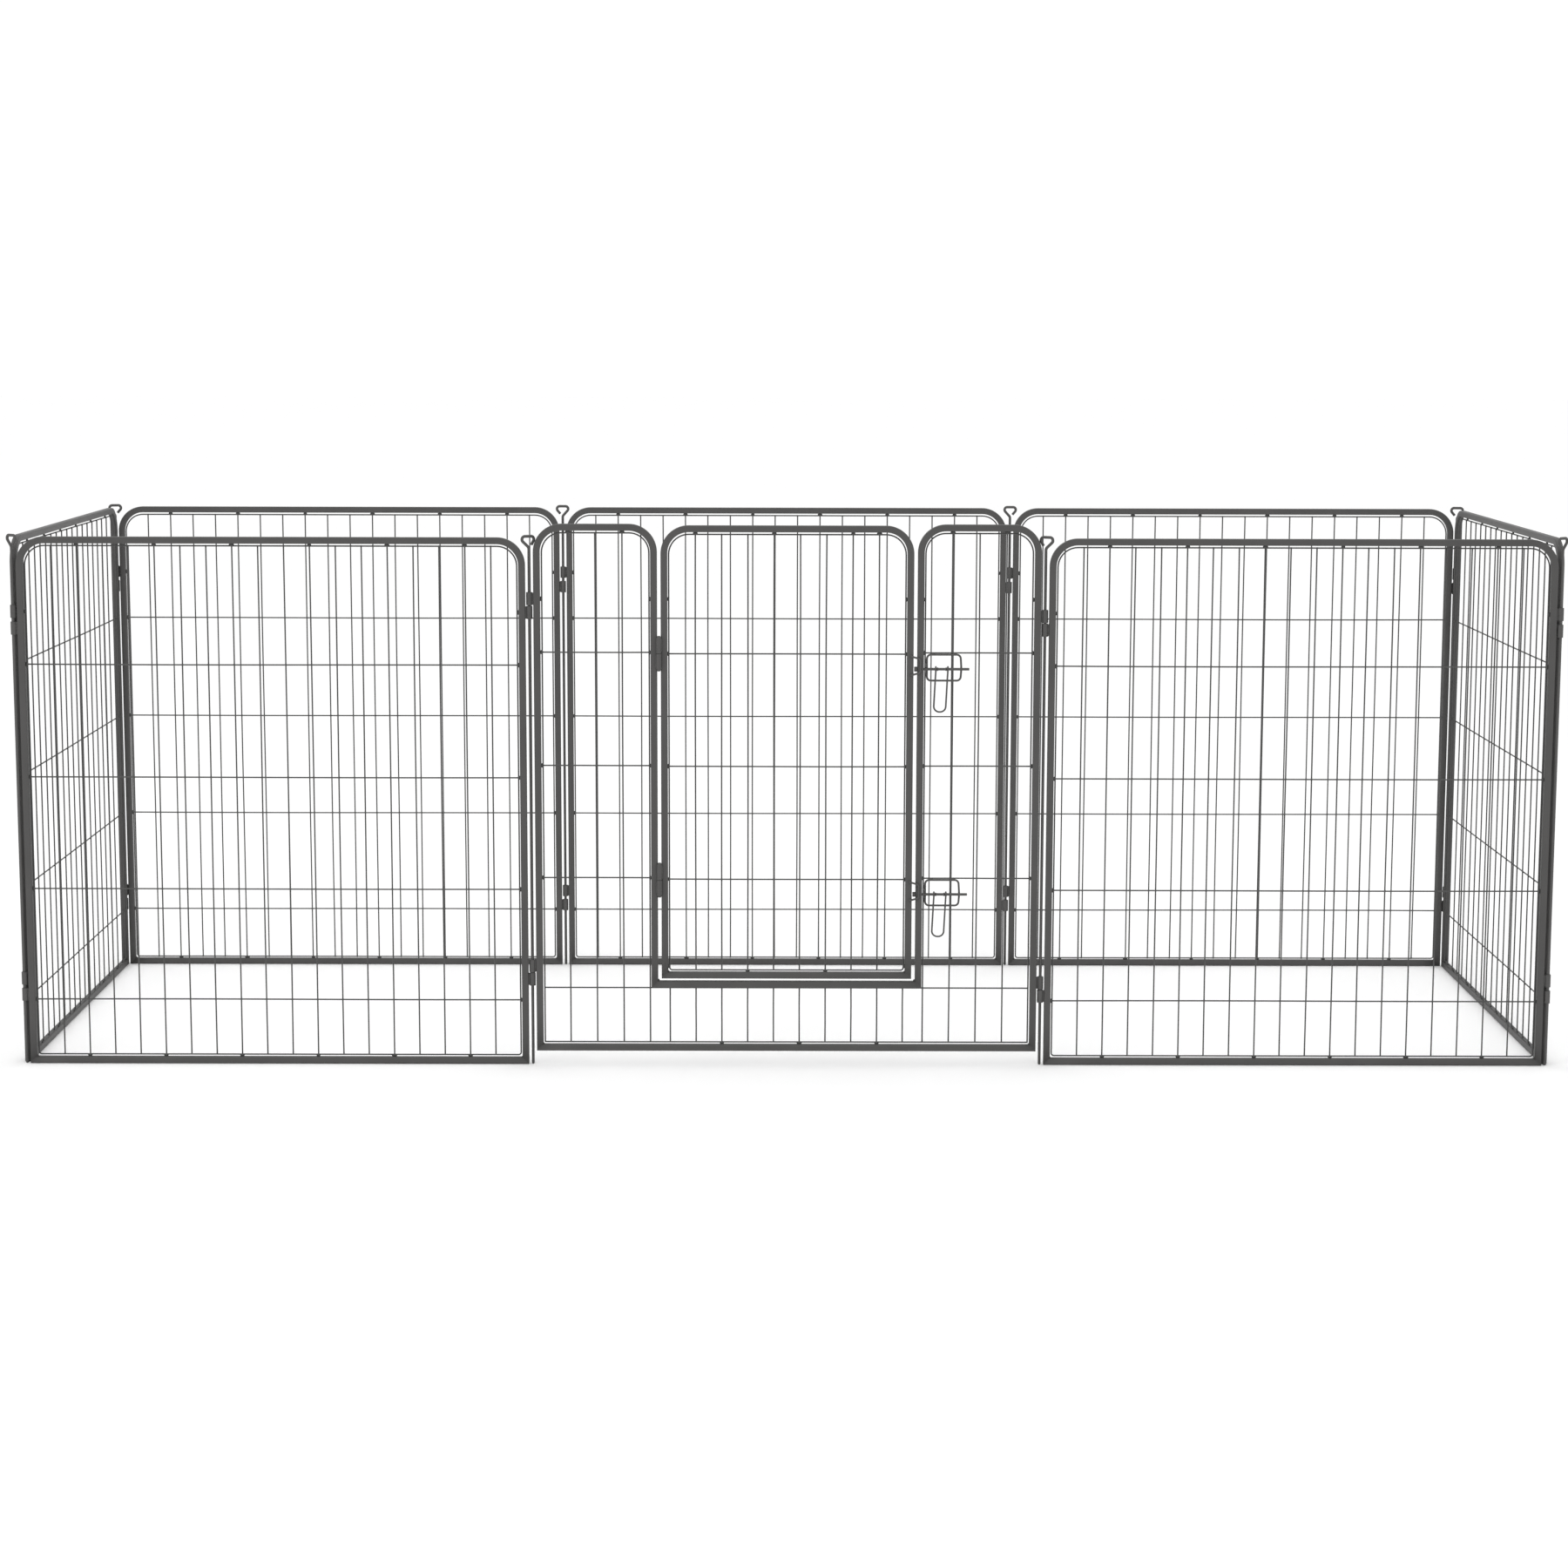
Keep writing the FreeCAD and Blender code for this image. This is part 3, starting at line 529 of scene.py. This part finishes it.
def tower_mesh(side):
    """Wires beside the doorway; the outline wire is open at the bottom."""
    shape, rng = Shape(), random.Random(22 + side)
    foot = OUTLINE_BOTTOM
    points = [
        at(side * TOWER_OUTLINE, foot, OUTLINE_DEPTH),
        at(side * TOWER_OUTLINE, OUTLINE_TOP, OUTLINE_DEPTH),
        at(side * OUTLINE, OUTLINE_TOP, OUTLINE_DEPTH),
        at(side * OUTLINE, foot, OUTLINE_DEPTH),
    ]
    line = rounded(points, [OUTLINE_BEND, OUTLINE_BEND])
    sweep(shape, divided(line, LONGEST_RUN), ROUND)
    places = [side * x for x in TOWER_UPRIGHTS]
    for x in places:
        upright(shape, x, OUTLINE_BOTTOM, OUTLINE_TOP, rng)
    for z in TOWER_LEVELS:
        straight_wire(
            shape,
            at(side * TOWER_OUTLINE, z, OUTLINE_DEPTH),
            at(side * OUTLINE, z, OUTLINE_DEPTH), rng, bow=0.25,
        )
    heights = (OUTLINE_BOTTOM, SILL - WIRE_RADIUS) + TOWER_LEVELS + (OUTLINE_TOP,)
    crossing_welds(shape, places, heights)
    for z in TOWER_LEVELS + (UPPER_TAB,):
        side_tab(shape, side * (STILE - TUBE / 2), side * OUTLINE, z, rng)
        side_tab(shape, side * (TOWER + TUBE / 2), side * TOWER_OUTLINE, z, rng)
    for x in (places[0], places[2]):
        rail_tab(shape, x, OUTLINE_TOP, HEIGHT - TUBE, rng)
    return shape


def sill_mesh():
    """The short wires below the door, and the panel's bottom wire."""
    shape, rng = Shape(), random.Random(24)
    low = OUTLINE_BOTTOM
    straight_wire(
        shape,
        at(-OUTLINE - TAB_OVERLAP, low, OUTLINE_DEPTH),
        at(OUTLINE + TAB_OVERLAP, low, OUTLINE_DEPTH), rng, bow=0.15,
    )
    level = SILL - WIRE_RADIUS
    start, end = at(-OUTLINE, level, OUTLINE_DEPTH), at(OUTLINE, level, OUTLINE_DEPTH)
    straight_wire(shape, start, end, rng, bow=0.1)
    places = [side * x for x in SILL_UPRIGHTS for side in (-1, 1)]
    for x in places:
        start, end = at(x, low - OVERRUN, UPRIGHT_DEPTH), at(x, SILL + 0.4, UPRIGHT_DEPTH)
        straight_wire(shape, start, end, rng, bow=0.2)
        shape.blob(at(x, SILL - 0.4, UPRIGHT_DEPTH - 0.3), SILL_SPOT, 8, 5)
    crossing_welds(shape, places, (low,))
    for x in places[1::TAB_EVERY]:
        rail_tab(shape, x, TUBE, low, rng)
    return shape


def door_mesh():
    """Wires of the door."""
    shape, rng = Shape(), random.Random(25)
    low, high = DOOR_OUTLINE_BOTTOM, DOOR_OUTLINE_TOP
    points = [
        at(0, low, OUTLINE_DEPTH),
        at(-DOOR_OUTLINE, low, OUTLINE_DEPTH),
        at(-DOOR_OUTLINE, high, OUTLINE_DEPTH),
        at(DOOR_OUTLINE, high, OUTLINE_DEPTH),
        at(DOOR_OUTLINE, low, OUTLINE_DEPTH),
        at(0, low, OUTLINE_DEPTH),
    ]
    line = rounded(
        points, [OUTLINE_FOOT_BEND, DOOR_OUTLINE_BEND, DOOR_OUTLINE_BEND, OUTLINE_FOOT_BEND]
    )
    closed_sweep(shape, divided(line, LONGEST_RUN)[:-1], ROUND)
    places = [side * x for x in DOOR_UPRIGHTS for side in (-1, 1)]
    for x in places:
        upright(shape, x, low, high, rng)
    for z in DOOR_LEVELS:
        start, end = at(-DOOR_OUTLINE, z, OUTLINE_DEPTH), at(DOOR_OUTLINE, z, OUTLINE_DEPTH)
        straight_wire(shape, start, end, rng, bow=0.3)
    crossing_welds(shape, places, (low,) + DOOR_LEVELS + (high,))
    for side in (-1, 1):
        for z in DOOR_LEVELS + (UPPER_TAB, DOOR_FOOT_TAB):
            side_tab(shape, side * (DOOR_STILE - TUBE / 2), side * DOOR_OUTLINE, z, rng)
    for x in (-DOOR_UPRIGHTS[3], -DOOR_UPRIGHTS[0], DOOR_UPRIGHTS[2], DOOR_UPRIGHTS[3]):
        rail_tab(shape, x, high, DOOR_TOP - TUBE, rng)
    for x in (-DOOR_UPRIGHTS[1], DOOR_UPRIGHTS[1]):
        rail_tab(shape, x, DOOR_BOTTOM + TUBE, low, rng)
    return shape


# ---- rings, pins and hinges ----
def ring_profile():
    """Outline of a ring's wall with its edges broken."""
    lower = [
        (RING_BORE_RADIUS, 0.3), (RING_BORE_RADIUS + 0.3, 0.0), (RING_RADIUS - 0.4, 0.0),
        (RING_RADIUS - 0.15, 0.15), (RING_RADIUS, 0.45),
    ]
    upper = [(radius, RING_LENGTH - along) for radius, along in reversed(lower)]
    return lower + upper


def rings(low_side):
    """Four pin rings, each welded to its stile by a bead in front and one behind."""
    shape, rng = Shape(), random.Random(31)
    weld_x, weld_y, weld_end = HALF + 1.0, 2.3, 1.2
    for side, bottoms in ((low_side, LOW_RINGS), (-low_side, HIGH_RINGS)):
        for z in bottoms:
            lathe(shape, ring_profile(), at(side * PITCH / 2, z), UP, hollow=True)
            for face in (-1, 1):
                start = at(side * weld_x, z + weld_end, face * weld_y)
                end = at(side * weld_x, z + RING_LENGTH - weld_end, face * weld_y)
                bead(shape, start, end, RING_BEAD, rng)
    return shape


# Each pin's place in half pitches across and back, the turn of its grip in degrees, the
# side on which the grip's wire ends, and how far the grip sits off the rod.
PINS = {
    "front_left_corner": (-3, -1, -40, 1, 0.0),
    "front_left": (-1, -1, 30, 1, 3.2),
    "front_right": (1, -1, -30, -1, 3.2),
    "front_right_corner": (3, -1, 40, -1, 0.0),
    "back_left_corner": (-3, 1, 12, 1, 0.0),
    "back_left": (-1, 1, 0, -1, 0.0),
    "back_right": (1, 1, 0, 1, 0.0),
    "back_right_corner": (3, 1, -12, -1, 0.0),
}


def hinge_pin(free_side, shift):
    """A rod with an open triangular grip bent at its top."""
    shape = Shape()
    points = [
        at(0, 0), at(0, PIN_NECK),
        at(-free_side * (PIN_GRIP_HALF + shift), PIN_TOP),
        at(free_side * (PIN_GRIP_HALF - shift), PIN_TOP),
        at(free_side * PIN_FREE_END[0], PIN_FREE_END[1]),
    ]
    line = divided(rounded(points, PIN_BENDS, 10), LONGEST_RUN)
    sweep(shape, line, circle_section(PIN_RADIUS, 20), dome=0.5)
    return shape


def hinge_half(sign):
    """Outside of one half of a weld-on barrel hinge, its far end tapered all round."""
    return [
        (2.0, sign * 26.5), (2.3, sign * 26.3), (3.9, sign * 22.7), (HINGE_RADIUS, sign * 22.0),
        (HINGE_RADIUS, sign * 0.6), (3.8, sign * 0.3), (3.4, sign * 0.2),
    ]


def hinge_bead(shape, x, bottom, rng):
    """Weld bead between a hinge half and the stile behind it."""
    start = Vector((x, HINGE_Y + 2.4, bottom))
    bead(shape, start, start + UP * HINGE_BEAD_LENGTH, HINGE_BEAD, rng, HINGE_BEAD_PITCH)


def hinge_posts():
    """Lower halves of the door's hinges, with their pins."""
    shape, rng = Shape(), random.Random(41)
    pin = [(HINGE_PIN_RADIUS, -1.0), (HINGE_PIN_RADIUS, 17.4), (HINGE_PIN_RADIUS - 0.4, 18.0)]
    for z in HINGE_LEVELS:
        origin = Vector((HINGE_X, HINGE_Y, z))
        lathe(shape, hinge_half(-1), origin, UP)
        lathe(shape, pin, origin, UP, 24)
        hinge_bead(shape, HINGE_X - HINGE_RADIUS, z - 20.5, rng)
    return shape


def hinge_sleeves():
    """Upper halves of the door's hinges, bored from below."""
    shape, rng = Shape(), random.Random(42)
    bore = [
        (0.05, 18.9), (HINGE_BORE_RADIUS, 18.9), (HINGE_BORE_RADIUS, 0.4),
        (HINGE_BORE_RADIUS + 0.2, 0.2),
    ]
    for z in HINGE_LEVELS:
        lathe(shape, bore + hinge_half(1)[::-1], Vector((HINGE_X, HINGE_Y, z)), UP)
        hinge_bead(shape, HINGE_X + HINGE_RADIUS, z + 3.5, rng)
    return shape


# ---- latches ----
def latch_loop(height):
    """Guard of bent wire around the bolt, spot welded to the wires behind it."""
    shape = Shape()
    left, right = LOOP_SIDES
    middle = (left + right) / 2
    low, high = height - LOOP_BELOW, height + LOOP_ABOVE
    corners = [
        (middle, low), (left, low), (left, high), (right, high),
        (right + LOOP_BOW, height), (right, low), (middle, low),
    ]
    line = rounded([at(x, z, LOOP_DEPTH) for x, z in corners], LOOP_BENDS, 8)
    closed_sweep(shape, line[:-1], circle_section(LOOP_RADIUS, 16))
    for x in LOOP_LEVEL_WELDS:
        shape.blob(at(x, high + 1.4, 1.5), LOOP_LEVEL_SPOT)
    for rise in LOOP_SIDE_WELDS:
        shape.blob(at(left - 1.4, height + rise, 1.4), LOOP_SIDE_SPOT)
    return shape


def latch_bushes():
    """Guide bushes that carry the bolts across the gap beside the door."""
    shape = Shape()
    edge = 0.3
    profile = [
        (BOLT_BORE_RADIUS, 0.0), (BUSH_RADIUS - edge, 0.0), (BUSH_RADIUS, edge),
        (BUSH_RADIUS, BUSH_LENGTH - edge), (BUSH_RADIUS - edge, BUSH_LENGTH),
        (BOLT_BORE_RADIUS, BUSH_LENGTH),
    ]
    for z in LATCHES.values():
        lathe(shape, profile, at(BUSH_START, z, BOLT_Y), ACROSS, 28, hollow=True)
    return shape


def bolt(height):
    """Sliding rod with a swelling beside each eye of its grip."""
    shape = Shape()
    tip = [(BOLT_RADIUS - 0.5, 0.0), (BOLT_RADIUS - 0.15, 0.15), (BOLT_RADIUS, 0.5)]
    profile = list(tip)
    for start in BOLT_STOPS:
        profile += [
            (BOLT_RADIUS, start - 0.1), (BOLT_STOP_RADIUS - 0.1, start + 0.3),
            (BOLT_STOP_RADIUS, start + 1.0),
            (BOLT_STOP_RADIUS - 0.1, start + 1.7), (BOLT_RADIUS, start + 2.1),
        ]
    profile += [(radius, BOLT_LENGTH - along) for radius, along in reversed(tip)]
    lathe(shape, profile, at(BOLT_START, height, BOLT_Y), ACROSS, 24)
    return shape


def bolt_grip(height):
    """U of wire that hangs from two eyes round the bolt."""
    shape = Shape()
    left, right = GRIP_LEGS
    end, knee = height - GRIP_LENGTH, height - GRIP_KNEE
    corners = [
        (left, height), (left - GRIP_KNEE_LEAN, knee), (left - GRIP_LEAN, end),
        (right - GRIP_LEAN, end), (right - GRIP_KNEE_LEAN, knee), (right, height),
    ]
    bow = GRIP_ROUND * (right - left) / 2
    points = [at(x, z, BOLT_Y - GRIP_EYE) for x, z in corners]
    line = rounded(points, [GRIP_KNEE_BEND, bow, bow, GRIP_KNEE_BEND], 14)
    sweep(shape, line, circle_section(GRIP_RADIUS, 16))
    for x in GRIP_LEGS:
        eye = [at(x, height + b, BOLT_Y + a) for a, b in circle_section(GRIP_EYE, 28)]
        closed_sweep(shape, eye, circle_section(GRIP_RADIUS, 14), normal=ACROSS)
    return shape


def keepers():
    """Wire staples on the door stile that reach over the tower stile."""
    shape = Shape()
    start, reach = DOOR_STILE + KEEPER_START, DOOR_STILE + KEEPER_REACH
    for z in LATCHES.values():
        high, low = z + KEEPER_ABOVE, z - KEEPER_BELOW
        corners = [
            (start, high), (reach, high - KEEPER_TAPER),
            (reach, low + KEEPER_TAPER), (start, low),
        ]
        line = rounded([at(x, height, KEEPER_DEPTH) for x, height in corners], [KEEPER_BEND] * 2, 10)
        sweep(shape, line, circle_section(KEEPER_RADIUS, 16), dome=0.3)
        for foot in (high - 0.2, low + 0.2):
            shape.blob(at(start + 0.8, foot, -5.8), KEEPER_SPOT)
    return shape


# ---- materials ----
SPECK_SHARE = 0.55         # how much of the colour's variation is fine specks
SPECK_SCALE = 1400.0
CLOUD_SCALE = 14.0
PEEL_HEIGHT = 0.00012      # metres


def powder_coat(name, dark, light, rough, grain):
    """Fine-textured dark grey powder coat; the grain is its surface's texture scale."""
    material = bpy.data.materials.new(name)
    material.use_nodes = True
    nodes, links = material.node_tree.nodes, material.node_tree.links
    shader = nodes["Principled BSDF"]
    shader.inputs["Metallic"].default_value = 0.0
    shader.inputs["Specular IOR Level"].default_value = 0.42
    place = nodes.new("ShaderNodeTexCoord")

    def noise(scale, detail):
        node = nodes.new("ShaderNodeTexNoise")
        node.inputs["Scale"].default_value = scale
        node.inputs["Detail"].default_value = detail
        links.new(place.outputs["Object"], node.inputs["Vector"])
        return node

    cloud, speck, peel = noise(CLOUD_SCALE, 3.0), noise(SPECK_SCALE, 2.0), noise(grain, 3.0)
    mixed = nodes.new("ShaderNodeMath")
    mixed.operation = "MULTIPLY_ADD"
    mixed.inputs[1].default_value = SPECK_SHARE
    links.new(speck.outputs["Fac"], mixed.inputs[0])
    clouds = nodes.new("ShaderNodeMath")
    clouds.operation = "MULTIPLY"
    clouds.inputs[1].default_value = 1 - SPECK_SHARE
    links.new(cloud.outputs["Fac"], clouds.inputs[0])
    links.new(clouds.outputs[0], mixed.inputs[2])
    ramp = nodes.new("ShaderNodeValToRGB")
    ramp.color_ramp.elements[0].position = 0.32
    ramp.color_ramp.elements[0].color = (*dark, 1)
    ramp.color_ramp.elements[1].position = 0.68
    ramp.color_ramp.elements[1].color = (*light, 1)
    links.new(mixed.outputs[0], ramp.inputs["Fac"])
    links.new(ramp.outputs["Color"], shader.inputs["Base Color"])
    spread = nodes.new("ShaderNodeMapRange")
    spread.inputs["To Min"].default_value = rough - 0.06
    spread.inputs["To Max"].default_value = rough + 0.08
    links.new(cloud.outputs["Fac"], spread.inputs["Value"])
    links.new(spread.outputs["Result"], shader.inputs["Roughness"])
    bump = nodes.new("ShaderNodeBump")
    bump.inputs["Strength"].default_value = 0.35
    bump.inputs["Distance"].default_value = PEEL_HEIGHT
    links.new(peel.outputs["Fac"], bump.inputs["Height"])
    links.new(bump.outputs["Normal"], shader.inputs["Normal"])
    return material


COATS = {
    "frame_coat": powder_coat(
        "frame_powder_coat", (0.050, 0.049, 0.048), (0.072, 0.070, 0.068), 0.50, 750.0
    ),
    # The wires' own dark grey powder coat, made darker than the frames' as painted shade that dims the
    # wires under the top softbox.
    "wire_coat": powder_coat(
        "wire_powder_coat_with_painted_shade", (0.042, 0.042, 0.041), (0.062, 0.061, 0.060), 0.48, 1100.0
    ),
    "hardware_coat": powder_coat(
        "hardware_powder_coat", (0.052, 0.051, 0.050), (0.078, 0.076, 0.074), 0.44, 850.0
    ),
}


def add(node, body, data, where=Matrix.Identity(4)):
    """Stand a finished mesh in for a CAD node."""
    piece = bpy.data.objects.new(node + "_look", data)
    bpy.context.scene.collection.objects.link(piece)
    piece.matrix_world = where
    bpy.context.view_layer.update()
    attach(piece, body)
    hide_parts(node)


def coated(shape, name, slot):
    """The shape's mesh with its slot's coat on it."""
    data = shape.mesh(name)
    data.materials.append(COATS[slot])
    return data


def placed(x, y, z, turn):
    """Where a panel or pin stands in the pen, and how far it is turned."""
    stand = Matrix.Translation((x * MM, y * MM, z * MM))
    return stand @ Matrix.Rotation(math.radians(turn), 4, "Z")


# ---- pieces ----
ROW = PITCH / 2            # from the pen's middle to its front and back rows
PLAIN_PANELS = {
    "front_left": (-PITCH, -ROW, 0),
    "front_right": (PITCH, -ROW, 0),
    "left_side": (-1.5 * PITCH, 0, -90),
    "right_side": (1.5 * PITCH, 0, 90),
    "back_left": (-PITCH, ROW, 180),
    "back_center": (0, ROW, 180),
    "back_right": (PITCH, ROW, 180),
}

plain = (
    ("frame", "frame_coat", coated(plain_frame(), "plain_frame", "frame_coat")),
    ("mesh", "wire_coat", coated(plain_mesh(), "plain_mesh", "wire_coat")),
    ("hinge_barrels", "hardware_coat", coated(rings(-1), "plain_rings", "hardware_coat")),
)
for panel, (x, y, turn) in PLAIN_PANELS.items():
    for part, slot, data in plain:
        add(f"{panel}_{part}", panel, data, placed(x, y, 0, turn))

door_place = placed(0, -ROW, LIFT, 0)
door_side = [
    ("door_panel_frame", "door_panel", "frame_coat", door_panel_frame()),
    ("door_panel_left_mesh", "door_panel", "wire_coat", tower_mesh(-1)),
    ("door_panel_right_mesh", "door_panel", "wire_coat", tower_mesh(1)),
    ("door_panel_sill_mesh", "door_panel", "wire_coat", sill_mesh()),
    ("door_panel_hinge_barrels", "door_panel", "hardware_coat", rings(1)),
    ("door_hinge_posts", "door_panel", "hardware_coat", hinge_posts()),
    ("latch_bushes", "door_panel", "hardware_coat", latch_bushes()),
    ("door_frame", "door", "frame_coat", door_frame()),
    ("door_mesh", "door", "wire_coat", door_mesh()),
    ("door_hinge_sleeves", "door", "hardware_coat", hinge_sleeves()),
    ("door_keepers", "door", "hardware_coat", keepers()),
]
for which, height in LATCHES.items():
    door_side += [
        (f"{which}_latch_loop", "door_panel", "hardware_coat", latch_loop(height)),
        (f"{which}_bolt", f"{which}_bolt", "hardware_coat", bolt(height)),
        (f"{which}_bolt_grip", f"{which}_bolt_grip", "hardware_coat", bolt_grip(height)),
    ]
for node, body, slot, shape in door_side:
    add(node, body, coated(shape, node, slot), door_place)

for name, (across, back, turn, free_side, shift) in PINS.items():
    node = "hinge_pin_" + name
    data = coated(hinge_pin(free_side, shift), node, "hardware_coat")
    add(node, node, data, placed(across * ROW, back * ROW, 0, turn))


# ---- floor, light and camera ----
FLOOR_REACH = 40.0         # metres, as are all lengths from here on
WORLD_STRENGTH = 1.03
CAMERA_PLACE = (-0.01234, -5.2558, 1.1293)
CAMERA_PITCH, CAMERA_YAW, CAMERA_ROLL = (math.radians(a) for a in (8.168, -0.094, 0.126))
CAMERA_LENS = 75.11
CAMERA_SENSOR = 36.0
CAMERA_FAR = 200.0


def plain_white(name, value, rough):
    """Matt white for the floor."""
    material = bpy.data.materials.new(name)
    material.use_nodes = True
    shader = material.node_tree.nodes["Principled BSDF"]
    shader.inputs["Base Color"].default_value = (value, value, value, 1)
    shader.inputs["Roughness"].default_value = rough
    shader.inputs["Specular IOR Level"].default_value = 0.1
    return material


floor_data = bpy.data.meshes.new("floor")
floor_data.from_pydata(
    [(x * FLOOR_REACH, y * FLOOR_REACH, 0) for x, y in ((-1, -1), (1, -1), (1, 1), (-1, 1))],
    [], [(0, 1, 2, 3)],
)
floor_data.materials.append(plain_white("floor_paint", 0.975, 0.95))
floor = bpy.data.objects.new("floor", floor_data)
floor.location.z = -0.0005
bpy.context.scene.collection.objects.link(floor)

world = bpy.data.worlds.new("studio")
bpy.context.scene.world = world
world.use_nodes = True
world.node_tree.nodes["Background"].inputs["Color"].default_value = (1, 1, 1, 1)
world.node_tree.nodes["Background"].inputs["Strength"].default_value = WORLD_STRENGTH


def soft_light(name, place, target, size, power):
    """Softbox aimed at a point."""
    data = bpy.data.lights.new(name, "AREA")
    data.shape = "RECTANGLE"
    data.size, data.size_y = size
    data.energy = power
    lamp = bpy.data.objects.new(name, data)
    bpy.context.scene.collection.objects.link(lamp)
    lamp.location = place
    aim = Vector(target) - Vector(place)
    lamp.rotation_euler = aim.to_track_quat("-Z", "Y").to_euler()


soft_light("top_softbox", (0.0, -0.4, 3.6), (0, 0, 0), (5.0, 3.0), 20.0)
soft_light("left_softbox", (-3.6, -3.4, 2.4), (0, 0, 0.4), (2.4, 2.4), 16.0)


def camera_axes():
    """Right, forward and up directions of the camera."""
    yaw = Matrix((
        (math.cos(CAMERA_YAW), math.sin(CAMERA_YAW), 0),
        (-math.sin(CAMERA_YAW), math.cos(CAMERA_YAW), 0),
        (0, 0, 1),
    ))
    pitch = Matrix((
        (1, 0, 0),
        (0, math.cos(CAMERA_PITCH), -math.sin(CAMERA_PITCH)),
        (0, math.sin(CAMERA_PITCH), math.cos(CAMERA_PITCH)),
    ))
    roll = Matrix((
        (math.cos(CAMERA_ROLL), 0, math.sin(CAMERA_ROLL)),
        (0, 1, 0),
        (-math.sin(CAMERA_ROLL), 0, math.cos(CAMERA_ROLL)),
    ))
    return roll @ pitch @ yaw


right, forward, up = camera_axes()
camera_data = bpy.data.cameras.new("camera")
camera_data.lens = CAMERA_LENS
camera_data.sensor_width = CAMERA_SENSOR
camera_data.clip_end = CAMERA_FAR
camera = bpy.data.objects.new("camera", camera_data)
bpy.context.scene.collection.objects.link(camera)
turn = Matrix((right, up, -forward)).transposed().to_4x4()
camera.matrix_world = Matrix.Translation(CAMERA_PLACE) @ turn
bpy.context.scene.camera = camera
bpy.context.scene.view_settings.view_transform = "Standard"
